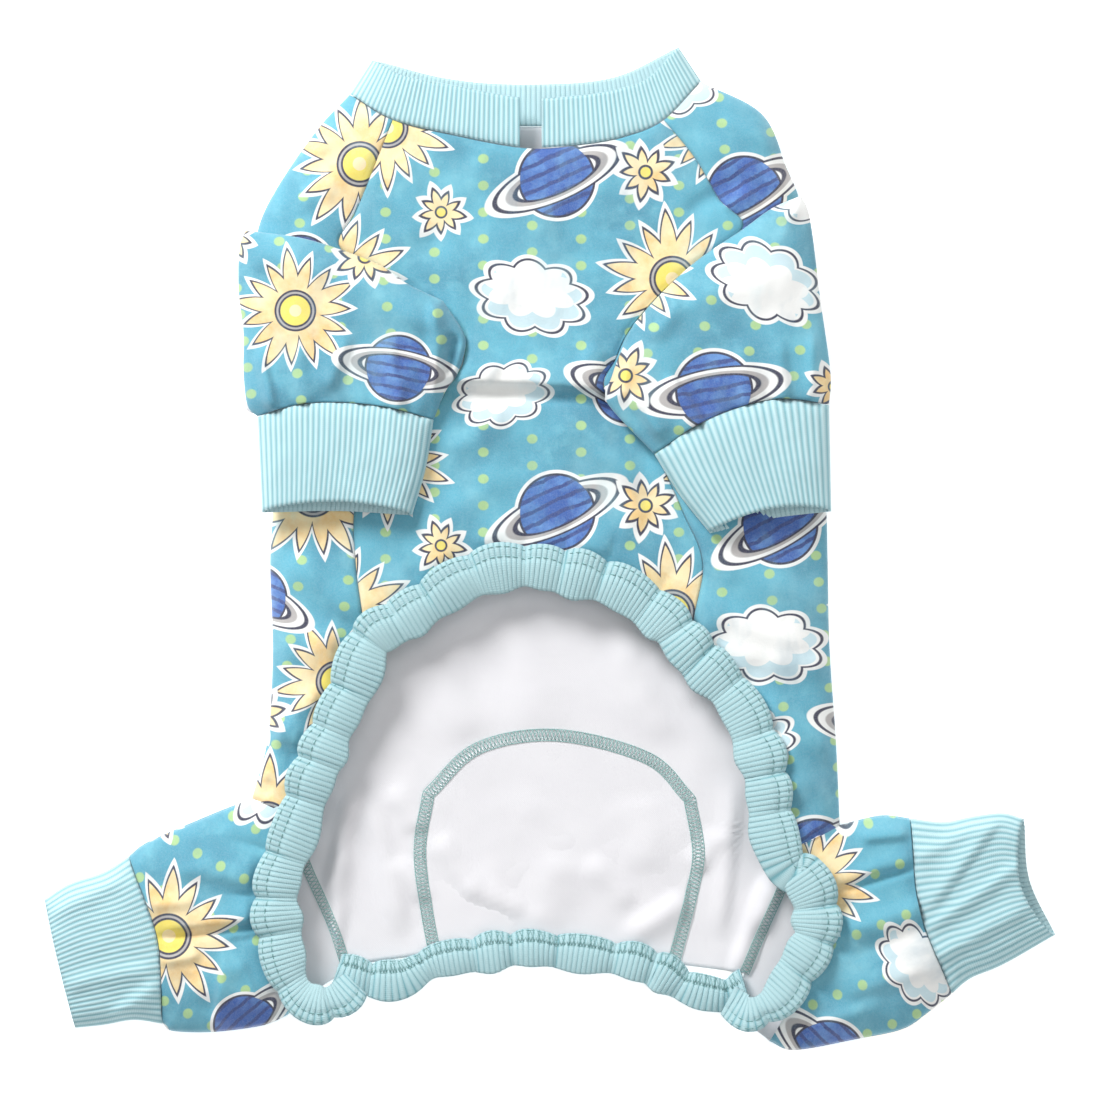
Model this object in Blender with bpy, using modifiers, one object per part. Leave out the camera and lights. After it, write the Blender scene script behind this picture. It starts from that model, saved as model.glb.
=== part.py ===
"""Dog jumpsuit laid flat, belly side up, neck towards +Y.

Each cloth piece is an open surface with the wall of its cloth. The surfaces are lofted in plan between
seams and folded edges, then lifted: the upper layer climbs from the folded edges to the laid height, and
the under layer lies on the floor. Lengths in the tables are shares of the named sizes.
"""

import math

import bmesh
import bpy
from mathutils import Matrix, Vector

# Driving sizes, metres
BODY_LENGTH = 0.450
CHEST_WIDTH = 0.2475
NECK_WIDTH = 0.159
BODY_HEIGHT = 0.014
COLLAR_HEIGHT = 0.0225
COLLAR_SPLIT = 0.010
SLEEVE_LENGTH = 0.081
SLEEVE_WIDTH = 0.0756
SLEEVE_HEIGHT = 0.0125
FRONT_CUFF_LENGTH = 0.045
FRONT_CUFF_WIDTH = 0.0635
LEG_LENGTH = 0.0585
LEG_WIDTH = 0.0775
HIND_CUFF_LENGTH = 0.045
HIND_CUFF_WIDTH = 0.0585
TRIM_WIDTH = 0.0190
TRIM_LAP = 0.0045
TRIM_WALL = 0.0026
GATHER_PITCH = 0.0200
GATHER_DEPTH = 0.0022
RUFFLE_HEIGHT = 0.0034
TRIM_TIP_HEIGHT = 0.0072
FABRIC_WALL = 0.0016
RIB_WALL = 0.0020
FOLD_LIFT = 0.0036
FOLD_ROUND = 0.026
UNDER_ROUND = 0.0055
CHEST_FOLD_RISE = 0.0040
CHEST_FOLD_DROP = 0.0045
CHEST_FOLD_SPREAD = 0.0085
SEAM_GAP = 0.0005
LAY_GAP = 0.0003
WELD = 0.00001
# How strongly the columns of a grid crowd at a folded edge: 1 is even
CROWDING = 1.4

# Where the middle of the neck lies, a share of the chest's width
NECK_CENTRE = -0.045

# Neck corners and the tops of the two raglan seams: across the neck, along the body
NECK_EDGE_LEFT, NECK_EDGE_RIGHT = (-0.500, 0.457), (0.500, 0.470)
NECK_SEAM_LEFT, NECK_SEAM_RIGHT = (-0.375, 0.430), (0.392, 0.430)
# The neckline between those points, on the belly side and on the back
NECK_FRONT = [(-0.194, 0.414), (0.000, 0.402), (0.160, 0.405), (0.279, 0.413)]
NECK_BACK = [(-0.242, 0.432), (0.000, 0.425), (0.268, 0.433)]

# One row for each station down the body: the folded edge and the seam on the left, then the seam and the
# folded edge on the right. Each place is (across the chest, along the body). The seams are the raglan seams,
# the armholes and the side seams, and from the last three rows down, the edge of the belly opening.
TORSO_ROWS = [
    ((-0.425, 0.422), (-0.318, 0.385), (0.262, 0.393), (0.387, 0.438)),
    ((-0.500, 0.362), (-0.353, 0.338), (0.309, 0.350), (0.431, 0.385)),
    ((-0.533, 0.322), (-0.380, 0.301), (0.349, 0.320), (0.456, 0.350)),
    ((-0.535, 0.288), (-0.256, 0.265), (0.227, 0.270), (0.465, 0.300)),
    ((-0.531, 0.250), (-0.173, 0.228), (0.151, 0.225), (0.473, 0.255)),
    ((-0.525, 0.210), (-0.155, 0.198), (0.120, 0.192), (0.480, 0.210)),
    ((-0.520, 0.165), (-0.182, 0.167), (0.100, 0.157), (0.487, 0.165)),
    ((-0.513, 0.115), (-0.300, 0.110), (0.191, 0.095), (0.496, 0.110)),
    ((-0.505, 0.060), (-0.353, 0.050), (0.244, 0.035), (0.504, 0.050)),
    ((-0.511, -0.010), (-0.353, -0.015), (0.278, -0.015), (0.507, -0.010)),
    ((-0.507, -0.075), (-0.340, -0.084), (0.262, -0.090), (0.509, -0.075)),
    ((-0.507, -0.123), (-0.373, -0.126), (0.347, -0.140), (0.513, -0.123)),
    ((-0.516, -0.191), (-0.429, -0.196), (0.396, -0.195), (0.522, -0.191)),
    ((-0.544, -0.249), (-0.473, -0.265), (0.436, -0.302), (0.529, -0.276)),
]
BELLY_ROWS = 11

# The arch of the belly opening, from the left side seam to the right one
OPENING_ARCH = [(-0.287, -0.062), (-0.213, -0.038), (-0.136, -0.013), (-0.045, -0.006), (0.064, -0.016),
                (0.151, -0.034), (0.222, -0.062)]

# Below the hips: the seams of the legs on the back, and the edge over the rump
LEG_SEAM_LEFT = [(-0.473, -0.288), (-0.431, -0.335), (-0.395, -0.380), (-0.373, -0.418)]
LEG_SEAM_RIGHT = [(0.455, -0.305), (0.415, -0.350), (0.382, -0.390), (0.355, -0.425)]
RUMP_EDGE = [(-0.200, -0.405), (-0.009, -0.395), (0.178, -0.412)]

# The rump insert: its left arm, its round top and its right arm
INSERT_LEFT = [(-0.222, -0.245), (-0.238, -0.300), (-0.227, -0.356), (-0.211, -0.4055)]
INSERT_TOP = [(-0.131, -0.199), (0.013, -0.186), (0.178, -0.209)]
INSERT_RIGHT = [(0.255, -0.250), (0.271, -0.303), (0.258, -0.347), (0.225, -0.4165)]

# The edge of each leg's upper layer beside the opening, from the hip down to the hem
LEG_EDGE_LEFT = [(-0.504, -0.310), (-0.515, -0.355), (-0.507, -0.400), (-0.485, -0.435), (-0.473, -0.464)]
LEG_EDGE_RIGHT = [(0.476, -0.314), (0.509, -0.350), (0.505, -0.390), (0.470, -0.424), (0.440, -0.454),
                  (0.400, -0.493)]

# The ends of the gathered trim, where it turns down from the legs to the rump, from the tip inwards
TRIM_END_LEFT = [(-0.350, -0.437), (-0.382, -0.453), (-0.418, -0.459), (-0.457, -0.451), (-0.487, -0.430),
                 (-0.506, -0.398)]
TRIM_END_RIGHT = [(0.322, -0.456), (0.362, -0.466), (0.404, -0.458), (0.438, -0.440), (0.470, -0.418),
                  (0.500, -0.388), (0.500, -0.350), (0.470, -0.318)]
# Where along its line each end has come down: the share of the line at the tip and where it is up
TRIM_DOWN_SHARE = 0.028
# The trim is drawn in where it turns there: its free width at the tip, and half the share of the turn
TRIM_TIP_WIDTH = 0.62
TRIM_TURN_SHARE = 0.045
# The free width of the trim over the rump, which lies turned under
RUMP_TRIM_SLIM = 0.68
RUMP_TRIM_LINE = [(-0.350, -0.424), (-0.275, -0.426), (-0.200, -0.407), (-0.009, -0.396), (0.178, -0.413),
                  (0.258, -0.436), (0.318, -0.442)]

# Sleeves: the fold over the armhole, then the armhole seam down to the underarm, across the chest and along
# the body. The end is set off from the anchor in sleeve lengths; tilt is in degrees; bow and spread are
# shares of the seam's width.
SLEEVES = {
    "left": {
        "fold": [(-0.553, 0.319), (-0.455, 0.312), (-0.380, 0.300), (-0.307, 0.284), (-0.256, 0.265),
                 (-0.195, 0.249)],
        "seam": [(-0.195, 0.249), (-0.160, 0.220), (-0.153, 0.203), (-0.168, 0.176), (-0.190, 0.158)],
        "outer": [(0.10, 0.040), (0.33, 0.058), (0.55, 0.046), (0.76, 0.060), (0.94, 0.050)],
        "anchor": (-0.381, 0.312), "reach": (0.03, -1.00), "tilt": -1.0, "width": 1.048, "bow": 0.085,
        "cuff_reach": (-0.084, -0.96), "cuff_tilt": -1.0, "cuff_width": 1.063, "cuff_bow": 0.02,
    },
    "right": {
        "fold": [(0.456, 0.354), (0.402, 0.341), (0.349, 0.320), (0.276, 0.293), (0.227, 0.270),
                 (0.193, 0.251), (0.151, 0.225)],
        "seam": [(0.151, 0.225), (0.124, 0.192), (0.110, 0.170), (0.100, 0.157), (0.113, 0.140)],
        "outer": [(0.12, 0.027), (0.50, 0.025), (0.85, 0.026)],
        "anchor": (0.348, 0.315), "reach": (0.00, -1.08), "tilt": 15.8, "width": 1.082, "bow": 0.120,
        "cuff_reach": (0.29, -0.93), "cuff_tilt": 10.3, "cuff_width": 0.872, "cuff_bow": 0.03,
    },
}
# The armholes: the places round each one, across the chest and along the body
ARMHOLES = {
    "left": [(-0.455, 0.284), (-0.380, 0.280), (-0.300, 0.260), (-0.225, 0.235), (-0.195, 0.214),
             (-0.190, 0.192), (-0.220, 0.172), (-0.300, 0.172), (-0.390, 0.200), (-0.450, 0.245)],
    "right": [(0.400, 0.312), (0.330, 0.288), (0.255, 0.256), (0.192, 0.216), (0.165, 0.192),
              (0.162, 0.172), (0.195, 0.160), (0.270, 0.170), (0.350, 0.205), (0.400, 0.262)],
}

# Legs: the end of each leg is set off from the opening's edge in leg lengths, and the cuff's hem from there
# in cuff lengths. The tilt is that of the seam line from its upper corner to its lower one.
LEGS = {
    "left": {
        "anchor": (-0.515, -0.355), "reach": (-0.94, -0.28), "tilt": -78.6, "width": 1.00, "bow": -0.075,
        "upper": [(0.36, -0.021), (0.83, -0.034)],
        "lower": [(0.07, 0.037), (0.25, 0.086), (0.62, 0.098), (0.93, 0.061)],
        "inner": [(-0.420, -0.440)],
        "cuff_reach": (-0.865, -0.24), "cuff_tilt": -76.5, "cuff_width": 1.02, "cuff_bow": 0.010,
        "cuff_upper": [(0.31, 0.028), (0.69, -0.028)], "cuff_lower": [(0.33, -0.060), (0.67, -0.020)],
    },
    "right": {
        "anchor": (0.509, -0.350), "reach": (0.785, -0.058), "tilt": -76.6, "width": 1.055, "bow": 0.070,
        "upper": [(0.36, -0.058), (0.66, -0.076)],
        "lower": [(0.12, 0.080), (0.45, 0.106), (0.70, 0.116), (0.86, 0.062)],
        "inner": [(0.348, -0.466)],
        "cuff_reach": (1.10, 0.295), "cuff_tilt": -75.0, "cuff_width": 0.925, "cuff_bow": 0.090,
        "cuff_upper": [(0.30, -0.030), (0.56, 0.022), (0.81, 0.050)], "cuff_lower": [(0.20, 0.035), (0.50, 0.0)],
    },
}

# The tuck across the chest between the sleeves: its line and where it fades out
CHEST_FOLD_ALONG = 0.163
CHEST_FOLD_FROM, CHEST_FOLD_TO, CHEST_FOLD_FADE = -0.150, 0.080, 0.060
# How far its ridge and its groove lie from that line, in spreads
CHEST_FOLD_ASIDE = 0.9

COLORS = {
    "print_aqua": (0.095, 0.380, 0.560, 1.0),
    "rib_aqua": (0.520, 0.790, 0.820, 1.0),
}
FABRIC_ROUGHNESS = 0.90


def on_body(place):
    return Vector((place[0] * CHEST_WIDTH, place[1] * BODY_LENGTH))


def on_neck(place):
    return Vector((NECK_CENTRE * CHEST_WIDTH + place[0] * NECK_WIDTH, place[1] * BODY_LENGTH))


def beside(start, end, rows):
    """Places between two corners: each row is the share of the way and the share it bows to the left."""
    way = end - start
    left = Vector((-way.y, way.x))
    return [start] + [start + way * along + left * aside for along, aside in rows] + [end]


def catmull(points, steps):
    """Points of a Catmull-Rom curve, with the same number of steps in each interval."""
    ends = [points[0] * 2 - points[1]] + list(points) + [points[-1] * 2 - points[-2]]
    out = []
    for i in range(len(points) - 1):
        a, b, c, d = ends[i:i + 4]
        for step in range(steps):
            t = step / steps
            out.append(0.5 * (2 * b + (c - a) * t + (2 * a - 5 * b + 4 * c - d) * t ** 2
                              + (3 * b - a - 3 * c + d) * t ** 3))
    return out + [points[-1].copy()]


def at_shares(points, shares):
    """Places at the given shares of the length of a smooth curve through the points."""
    fine = catmull(points, 12)
    reach = [0.0]
    for a, b in zip(fine, fine[1:]):
        reach.append(reach[-1] + (b - a).length)
    out = []
    i = 0
    for share in shares:
        target = share * reach[-1]
        while i < len(fine) - 2 and reach[i + 1] < target:
            i += 1
        step = reach[i + 1] - reach[i]
        out.append(fine[i].lerp(fine[i + 1], min(1.0, (target - reach[i]) / step)))
    return out


def even(count):
    return [i / count for i in range(count + 1)]


def crowded(count):
    """Shares from 0 to 1 that crowd at both ends, where the cloth is folded."""
    return [(1 - math.cos(math.pi * i / count)) / 2 for i in range(count + 1)]


def crowded_first(count):
    """Shares from 0 to 1 that crowd at the first end."""
    return [(i / count) ** CROWDING for i in range(count + 1)]


def loft(first, last, start, end, across, along, fade=1):
    """A grid in plan between four edges: first and last row, start and end column.

    The bows of the first and last row fade out over the grid: a higher power keeps them nearer their rows.
    """
    rows = []
    for i, v in enumerate(along):
        row = []
        for j, u in enumerate(across):
            first_bow = first[j] - first[0] * (1 - u) - first[-1] * u
            last_bow = last[j] - last[0] * (1 - u) - last[-1] * u
            row.append(start[i] * (1 - u) + end[i] * u + first_bow * (1 - v) ** fade + last_bow * v ** fade)
        rows.append(row)
    return rows


def drawn_in(grid, sides, amount=SEAM_GAP / 2):
    """Moves the seam sides of a grid inwards, square to the seam, so that sewn pieces stay apart."""
    rows, columns = len(grid), len(grid[0])
    lines = {
        "first": ([(0, j) for j in range(columns)], [(1, j) for j in range(columns)]),
        "last": ([(rows - 1, j) for j in range(columns)], [(rows - 2, j) for j in range(columns)]),
        "start": ([(i, 0) for i in range(rows)], [(i, 1) for i in range(rows)]),
        "end": ([(i, columns - 1) for i in range(rows)], [(i, columns - 2) for i in range(rows)]),
    }
    moved = [[p.copy() for p in row] for row in grid]
    for side in sides:
        line, inside = lines[side]
        for n, (i, j) in enumerate(line):
            before, after = line[max(0, n - 1)], line[min(len(line) - 1, n + 1)]
            along = grid[after[0]][after[1]] - grid[before[0]][before[1]]
            inwards = grid[inside[n][0]][inside[n][1]] - grid[i][j]
            square = Vector((-along.y, along.x)).normalized()
            moved[i][j] += square * math.copysign(amount, square.dot(inwards))
    return moved


def dome(share):
    share = min(1.0, max(0.0, share))
    return math.sqrt(share * (2 - share))


def ease(share):
    share = min(1.0, max(0.0, share))
    return share * share * (3 - 2 * share)


def distance(point, lines):
    """How far a place in plan lies from the nearest of the folded edges."""
    nearest = math.inf
    for line in lines:
        for a, b in zip(line, line[1:]):
            way = b - a
            t = min(1.0, max(0.0, (point - a).dot(way) / way.length_squared))
            nearest = min(nearest, (point - a - way * t).length)
    return nearest


def upper(point, lines, base, height):
    climb = dome((distance(point, lines) - SEAM_GAP) / FOLD_ROUND)
    return Vector((point.x, point.y, base + FOLD_LIFT + (height - FOLD_LIFT) * climb))


def under(point, lines, base):
    drop = dome((distance(point, lines) - SEAM_GAP) / UNDER_ROUND)
    return Vector((point.x, point.y, base + FOLD_LIFT * (1 - drop)))


def collection(name):
    group = bpy.data.collections.new(name)
    bpy.context.scene.collection.children.link(group)
    return group


def material(name):
    found = bpy.data.materials.get(name)
    if found:
        return found
    made = bpy.data.materials.new(name)
    made.use_nodes = True
    shader = made.node_tree.nodes["Principled BSDF"]
    shader.inputs["Base Color"].default_value = COLORS[name]
    shader.inputs["Roughness"].default_value = FABRIC_ROUGHNESS
    shader.inputs["Metallic"].default_value = 0.0
    made.diffuse_color = COLORS[name]
    return made


def cloth(name, patches, wall, surface, offset=-1.0):
    """One cloth piece from grids that meet at folded edges. Each patch is (grid, faces_up)."""
    shape = bmesh.new()
    for grid, faces_up in patches:
        verts = [[shape.verts.new(p) for p in row] for row in grid]
        middle_row, middle = len(grid) // 2, len(grid[0]) // 2
        down = grid[middle_row + 1][middle] - grid[middle_row][middle]
        right = grid[middle_row][middle + 1] - grid[middle_row][middle]
        turned = (down.cross(right).z > 0) != faces_up
        for i in range(len(grid) - 1):
            for j in range(len(grid[0]) - 1):
                corners = [verts[i][j], verts[i + 1][j], verts[i + 1][j + 1], verts[i][j + 1]]
                facets = [corners]
                if i in (0, len(grid) - 2) and j in (0, len(grid[0]) - 2):
                    # Where two folded edges meet, the corner is joined to the place inside it
                    first = 0 if (i == 0) == (j == 0) else 1
                    a, b, c, d = corners[first:] + corners[:first]
                    facets = [[a, b, c], [a, c, d]]
                for facet in facets:
                    shape.faces.new(facet[::-1] if turned else facet)
    bmesh.ops.remove_doubles(shape, verts=shape.verts, dist=WELD)
    mesh = bpy.data.meshes.new(name)
    shape.to_mesh(mesh)
    shape.free()
    mesh.shade_smooth()
    piece = bpy.data.objects.new(name, mesh)
    piece.data.materials.append(material(surface))
    PIECES.objects.link(piece)
    skin = piece.modifiers.new("wall", "SOLIDIFY")
    skin.thickness = wall
    skin.offset = offset
    return piece


def cutter(name, outline, low, high):
    """An upright prism that cuts an opening through one layer."""
    shape = bmesh.new()
    base = shape.faces.new([shape.verts.new((p.x, p.y, low)) for p in outline])
    grown = bmesh.ops.extrude_face_region(shape, geom=[base])["geom"]
    top = [v for v in grown if isinstance(v, bmesh.types.BMVert)]
    bmesh.ops.translate(shape, verts=top, vec=(0, 0, high - low))
    bmesh.ops.recalc_face_normals(shape, faces=shape.faces)
    mesh = bpy.data.meshes.new(name)
    shape.to_mesh(mesh)
    shape.free()
    tool = bpy.data.objects.new(name, mesh)
    tool.hide_render = True
    tool.display_type = "WIRE"
    CUTTERS.objects.link(tool)
    return tool


def cut(piece, tool):
    hole = piece.modifiers.new(tool.name, "BOOLEAN")
    hole.operation = "DIFFERENCE"
    hole.object = tool


def seam_line(centre, tilt, width):
    """The two ends of a seam of this width across a sleeve, a leg or a hem."""
    turn = math.radians(tilt)
    half = Vector((math.cos(turn), math.sin(turn))) * width / 2
    return centre - half, centre + half


for old in list(bpy.data.objects):
    bpy.data.objects.remove(old, do_unlink=True)
PIECES = collection("dog_jumpsuit")
CUTTERS = collection("cutters")

# Places that several pieces share
ROW_STEPS = 2
FOLD_STEPS = 20
NECK_LEFT, NECK_RIGHT = on_neck(NECK_EDGE_LEFT), on_neck(NECK_EDGE_RIGHT)
edge_left, seam_left, seam_right, edge_right = (
    catmull([on_neck(top)] + [on_body(row[column]) for row in TORSO_ROWS], ROW_STEPS)
    for column, top in enumerate((NECK_EDGE_LEFT, NECK_SEAM_LEFT, NECK_SEAM_RIGHT, NECK_EDGE_RIGHT)))
HIP_LEFT, HIP_RIGHT = edge_left[-1], edge_right[-1]


def leg_places(side):
    """The four corners and the folded edges of a leg and its cuff."""
    leg = LEGS[side]
    hip, hem_edge = (HIP_LEFT, LEG_EDGE_LEFT) if side == "left" else (HIP_RIGHT, LEG_EDGE_RIGHT)
    centre = on_body(leg["anchor"]) + Vector(leg["reach"]) * LEG_LENGTH
    top, bottom = seam_line(centre, leg["tilt"], leg["width"] * LEG_WIDTH)
    hem_centre = centre + Vector(leg["cuff_reach"]) * HIND_CUFF_LENGTH
    hem_top, hem_bottom = seam_line(hem_centre, leg["cuff_tilt"], leg["cuff_width"] * HIND_CUFF_WIDTH)
    heel = on_body(hem_edge[-1])
    side_sign = 1 if side == "left" else -1
    return {
        "hip": hip, "heel": heel, "top": top, "bottom": bottom, "hem_top": hem_top, "hem_bottom": hem_bottom,
        "upper": beside(hip, top, [(a, b * side_sign) for a, b in leg["upper"]]),
        "lower": beside(heel, bottom, [(a, b * side_sign) for a, b in leg["lower"]]),
        "seam": beside(top, bottom, [(0.5, leg["bow"] * -1)]),
        "cuff_upper": beside(top, hem_top, leg["cuff_upper"]),
        "cuff_lower": beside(bottom, hem_bottom, leg["cuff_lower"]),
        "hem": beside(hem_top, hem_bottom, [(0.5, leg["cuff_bow"] * -1)]),
    }


LEG_PLACES = {side: leg_places(side) for side in LEGS}
NECK_STEPS = 6
neck_points = [NECK_EDGE_LEFT, NECK_SEAM_LEFT] + NECK_FRONT + [NECK_SEAM_RIGHT, NECK_EDGE_RIGHT]
neck_front = catmull([on_neck(p) for p in neck_points], NECK_STEPS)
neck_back = catmull([on_neck(p) for p in [NECK_EDGE_LEFT] + NECK_BACK + [NECK_EDGE_RIGHT]], NECK_STEPS)
COLLAR_CORNER_LEAN = 0.46
COLLAR_CORNER_RISE = 0.70
COLLAR_BACK_RISE = 0.86


def collar_top(place, share, middle_rise):
    """The collar's top edge above a place on the neck seam; share runs from -1 to 1 across the neck."""
    lean = -COLLAR_CORNER_LEAN * share * abs(share)
    rise = middle_rise + (COLLAR_CORNER_RISE - middle_rise) * abs(share) ** 3
    return place + Vector((lean, rise)) * COLLAR_HEIGHT


FOLDS = [
    [collar_top(NECK_LEFT, -1, 1)] + edge_left,
    [collar_top(NECK_RIGHT, 1, 1)] + edge_right,
]
for place in LEG_PLACES.values():
    FOLDS += [at_shares(place[name], even(FOLD_STEPS)) for name in ("upper", "lower", "cuff_upper", "cuff_lower")]


def body_top(point):
    return upper(point, FOLDS, 0.0, BODY_HEIGHT)


def body_under(point):
    return under(point, FOLDS, 0.0)


def belly_top(point):
    """The belly's upper layer, with the tuck across the chest."""
    lifted = body_top(point)
    from_line = (point.y - CHEST_FOLD_ALONG * BODY_LENGTH) / CHEST_FOLD_SPREAD
    into = (point.x - CHEST_FOLD_FROM * CHEST_WIDTH) / (CHEST_FOLD_FADE * CHEST_WIDTH)
    out_of = (CHEST_FOLD_TO * CHEST_WIDTH - point.x) / (CHEST_FOLD_FADE * CHEST_WIDTH)
    strength = ease(into) * ease(out_of)
    ridge = math.exp(-(from_line - CHEST_FOLD_ASIDE) ** 2) * CHEST_FOLD_RISE
    groove = math.exp(-(from_line + CHEST_FOLD_ASIDE) ** 2) * CHEST_FOLD_DROP
    lifted.z += strength * (ridge - groove)
    return lifted


def raise_grid(grid, lift):
    return [[lift(p) for p in row] for row in grid]


WRAP_COLUMNS = 5
BACK_COLUMNS = 8
BELLY_COLUMNS = 12
COLLAR_COLUMNS = 7
COLLAR_ROWS = 3


def make_wrap(edge, seam, neck):
    """The back's cloth that wraps over one side, from the folded edge to the seam on the belly side."""
    shares = crowded_first(WRAP_COLUMNS)
    rows = even(len(edge) - 1)
    first = at_shares(neck, shares)
    last = at_shares([edge[-1], seam[-1]], shares)
    grid = drawn_in(loft(first, last, edge, seam, shares, rows), ["last", "end"])
    for row, place in zip(grid, edge):
        row[0] = place
    return grid


def make_back():
    shares = crowded(BACK_COLUMNS)
    leg_left = catmull([HIP_LEFT] + [on_body(p) for p in LEG_SEAM_LEFT], ROW_STEPS)
    leg_right = catmull([HIP_RIGHT] + [on_body(p) for p in LEG_SEAM_RIGHT], ROW_STEPS)
    first = at_shares(neck_back, shares)
    hip = at_shares([HIP_LEFT, HIP_RIGHT], shares)
    rump = at_shares([leg_left[-1]] + [on_body(p) for p in RUMP_EDGE] + [leg_right[-1]], shares)
    upper_part = loft(first, hip, edge_left, edge_right, shares, even(len(edge_left) - 1))
    lower_part = loft(hip, rump, leg_left, leg_right, shares, even(len(leg_left) - 1))
    lower_part = drawn_in(lower_part, ["start", "end"])
    lower_part[0] = upper_part[-1]
    wraps = [make_wrap(edge_left, seam_left, neck_front[:NECK_STEPS + 1]),
             make_wrap(edge_right, seam_right, neck_front[:-NECK_STEPS - 2:-1])]
    patches = [(raise_grid(upper_part, body_under), False),
               ([[Vector((p.x, p.y, 0.0)) for p in row] for row in lower_part], False)]
    patches[1] = ([patches[0][0][-1]] + patches[1][0][1:], False)
    patches += [(raise_grid(wrap, body_top), True) for wrap in wraps]
    return cloth("back_panel", patches, FABRIC_WALL, "print_aqua")


INSERT_ACROSS, INSERT_ALONG = 8, 6


def insert_sides():
    left = at_shares([on_body(p) for p in INSERT_LEFT], even(INSERT_ALONG))
    right = at_shares([on_body(p) for p in INSERT_RIGHT], even(INSERT_ALONG))
    top = at_shares([left[0]] + [on_body(p) for p in INSERT_TOP] + [right[0]], even(INSERT_ACROSS))
    return left, top, right


def make_insert():
    left, top, right = insert_sides()
    middle = on_body(RUMP_EDGE[1])
    across, along = even(INSERT_ACROSS), even(INSERT_ALONG)
    last = at_shares([left[-1], middle, right[-1]], across)
    grid = drawn_in(loft(top, last, left, right, across, along), ["first", "start", "end"], SEAM_GAP)
    flat = [[Vector((p.x, p.y, 0.0)) for p in row] for row in grid]
    return cloth("rump_panel", [(flat, False)], FABRIC_WALL, "print_aqua")


def make_insert_cutter():
    left, top, right = insert_sides()
    below = Vector((0, -TRIM_WIDTH))
    outline = [left[-1] + below] + left[::-1] + top[1:-1] + right + [right[-1] + below]
    return cutter("rump_opening", outline, -FABRIC_WALL, 3 * FABRIC_WALL)


def make_belly():
    last_row = BELLY_ROWS * ROW_STEPS
    left, right = seam_left[:last_row + 1], seam_right[:last_row + 1]
    first = at_shares(neck_front[NECK_STEPS:-NECK_STEPS], even(BELLY_COLUMNS))
    arch = at_shares([left[-1]] + [on_body(p) for p in OPENING_ARCH] + [right[-1]], even(BELLY_COLUMNS))
    grid = loft(first, arch, left, right, even(BELLY_COLUMNS), even(last_row), fade=3)
    grid = drawn_in(grid, ["start", "end"])
    return cloth("belly_panel", [(raise_grid(grid, belly_top), True)], FABRIC_WALL, "print_aqua")


def make_collar():
    """A rib collar round the neck, open at the middle of the belly side."""
    half = COLLAR_SPLIT / 2
    rows = even(COLLAR_ROWS)

    def strip(line, shares, middle_rise, lift):
        seam = at_shares(line, shares)
        middle, reach = (NECK_LEFT.x + NECK_RIGHT.x) / 2, (NECK_RIGHT.x - NECK_LEFT.x) / 2
        tops = [collar_top(p, (p.x - middle) / reach, middle_rise) for p in seam]
        sewn = [p + (t - p).normalized() * SEAM_GAP for p, t in zip(seam, tops)]
        return [[lift(s.lerp(t, v)) for s, t in zip(sewn, tops)] for v in rows]

    half_share = half / sum((b - a).length for a, b in zip(neck_front, neck_front[1:]))
    left_shares = [s * (0.5 - half_share) for s in crowded_first(COLLAR_COLUMNS)]
    right_shares = [1 - s for s in reversed(left_shares)]
    patches = [
        (strip(neck_back, crowded(BACK_COLUMNS), COLLAR_BACK_RISE, body_under), False),
        (strip(neck_front, left_shares, 1.0, body_top), True),
        (strip(neck_front, right_shares, 1.0, body_top), True),
    ]
    return cloth("collar", patches, RIB_WALL, "rib_aqua")


def sleeve_places(side):
    sleeve = SLEEVES[side]
    fold = [on_body(p) for p in sleeve["fold"]]
    seam = [on_body(p) for p in sleeve["seam"]]
    centre = on_body(sleeve["anchor"]) + Vector(sleeve["reach"]) * SLEEVE_LENGTH
    ends = seam_line(centre, sleeve["tilt"], sleeve["width"] * SLEEVE_WIDTH)
    hem_centre = centre + Vector(sleeve["cuff_reach"]) * FRONT_CUFF_LENGTH
    hems = seam_line(hem_centre, sleeve["cuff_tilt"], sleeve["cuff_width"] * FRONT_CUFF_WIDTH)
    outside, inside = (0, 1) if side == "left" else (1, 0)
    sign = 1 if side == "left" else -1
    out_corner, in_corner = ends[outside], ends[inside]
    bow = sleeve["bow"] * sign
    return {
        "fold": fold,
        "outer": beside(fold[0], out_corner, [(a, -b * sign) for a, b in sleeve["outer"]]),
        "inner": seam + [in_corner],
        "cuff_seam": beside(out_corner, in_corner, [(0.25, bow * 0.85), (0.5, bow), (0.75, bow * 0.7)]),
        "cuff_outer": beside(out_corner, hems[outside], [(0.5, 0.0)]),
        "cuff_inner": beside(in_corner, hems[inside], [(0.5, 0.03 * sign)]),
        "hem": beside(hems[outside], hems[inside], [(0.5, sleeve["cuff_bow"] * sign)]),
    }


SLEEVE_BASE = BODY_HEIGHT + LAY_GAP
SLEEVE_ACROSS = 9
SLEEVE_ALONG = 8
CUFF_ALONG = 4
# How far the armhole's cut reaches up into the hollow of the sleeve
ARMHOLE_REACH = 0.0052


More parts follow.
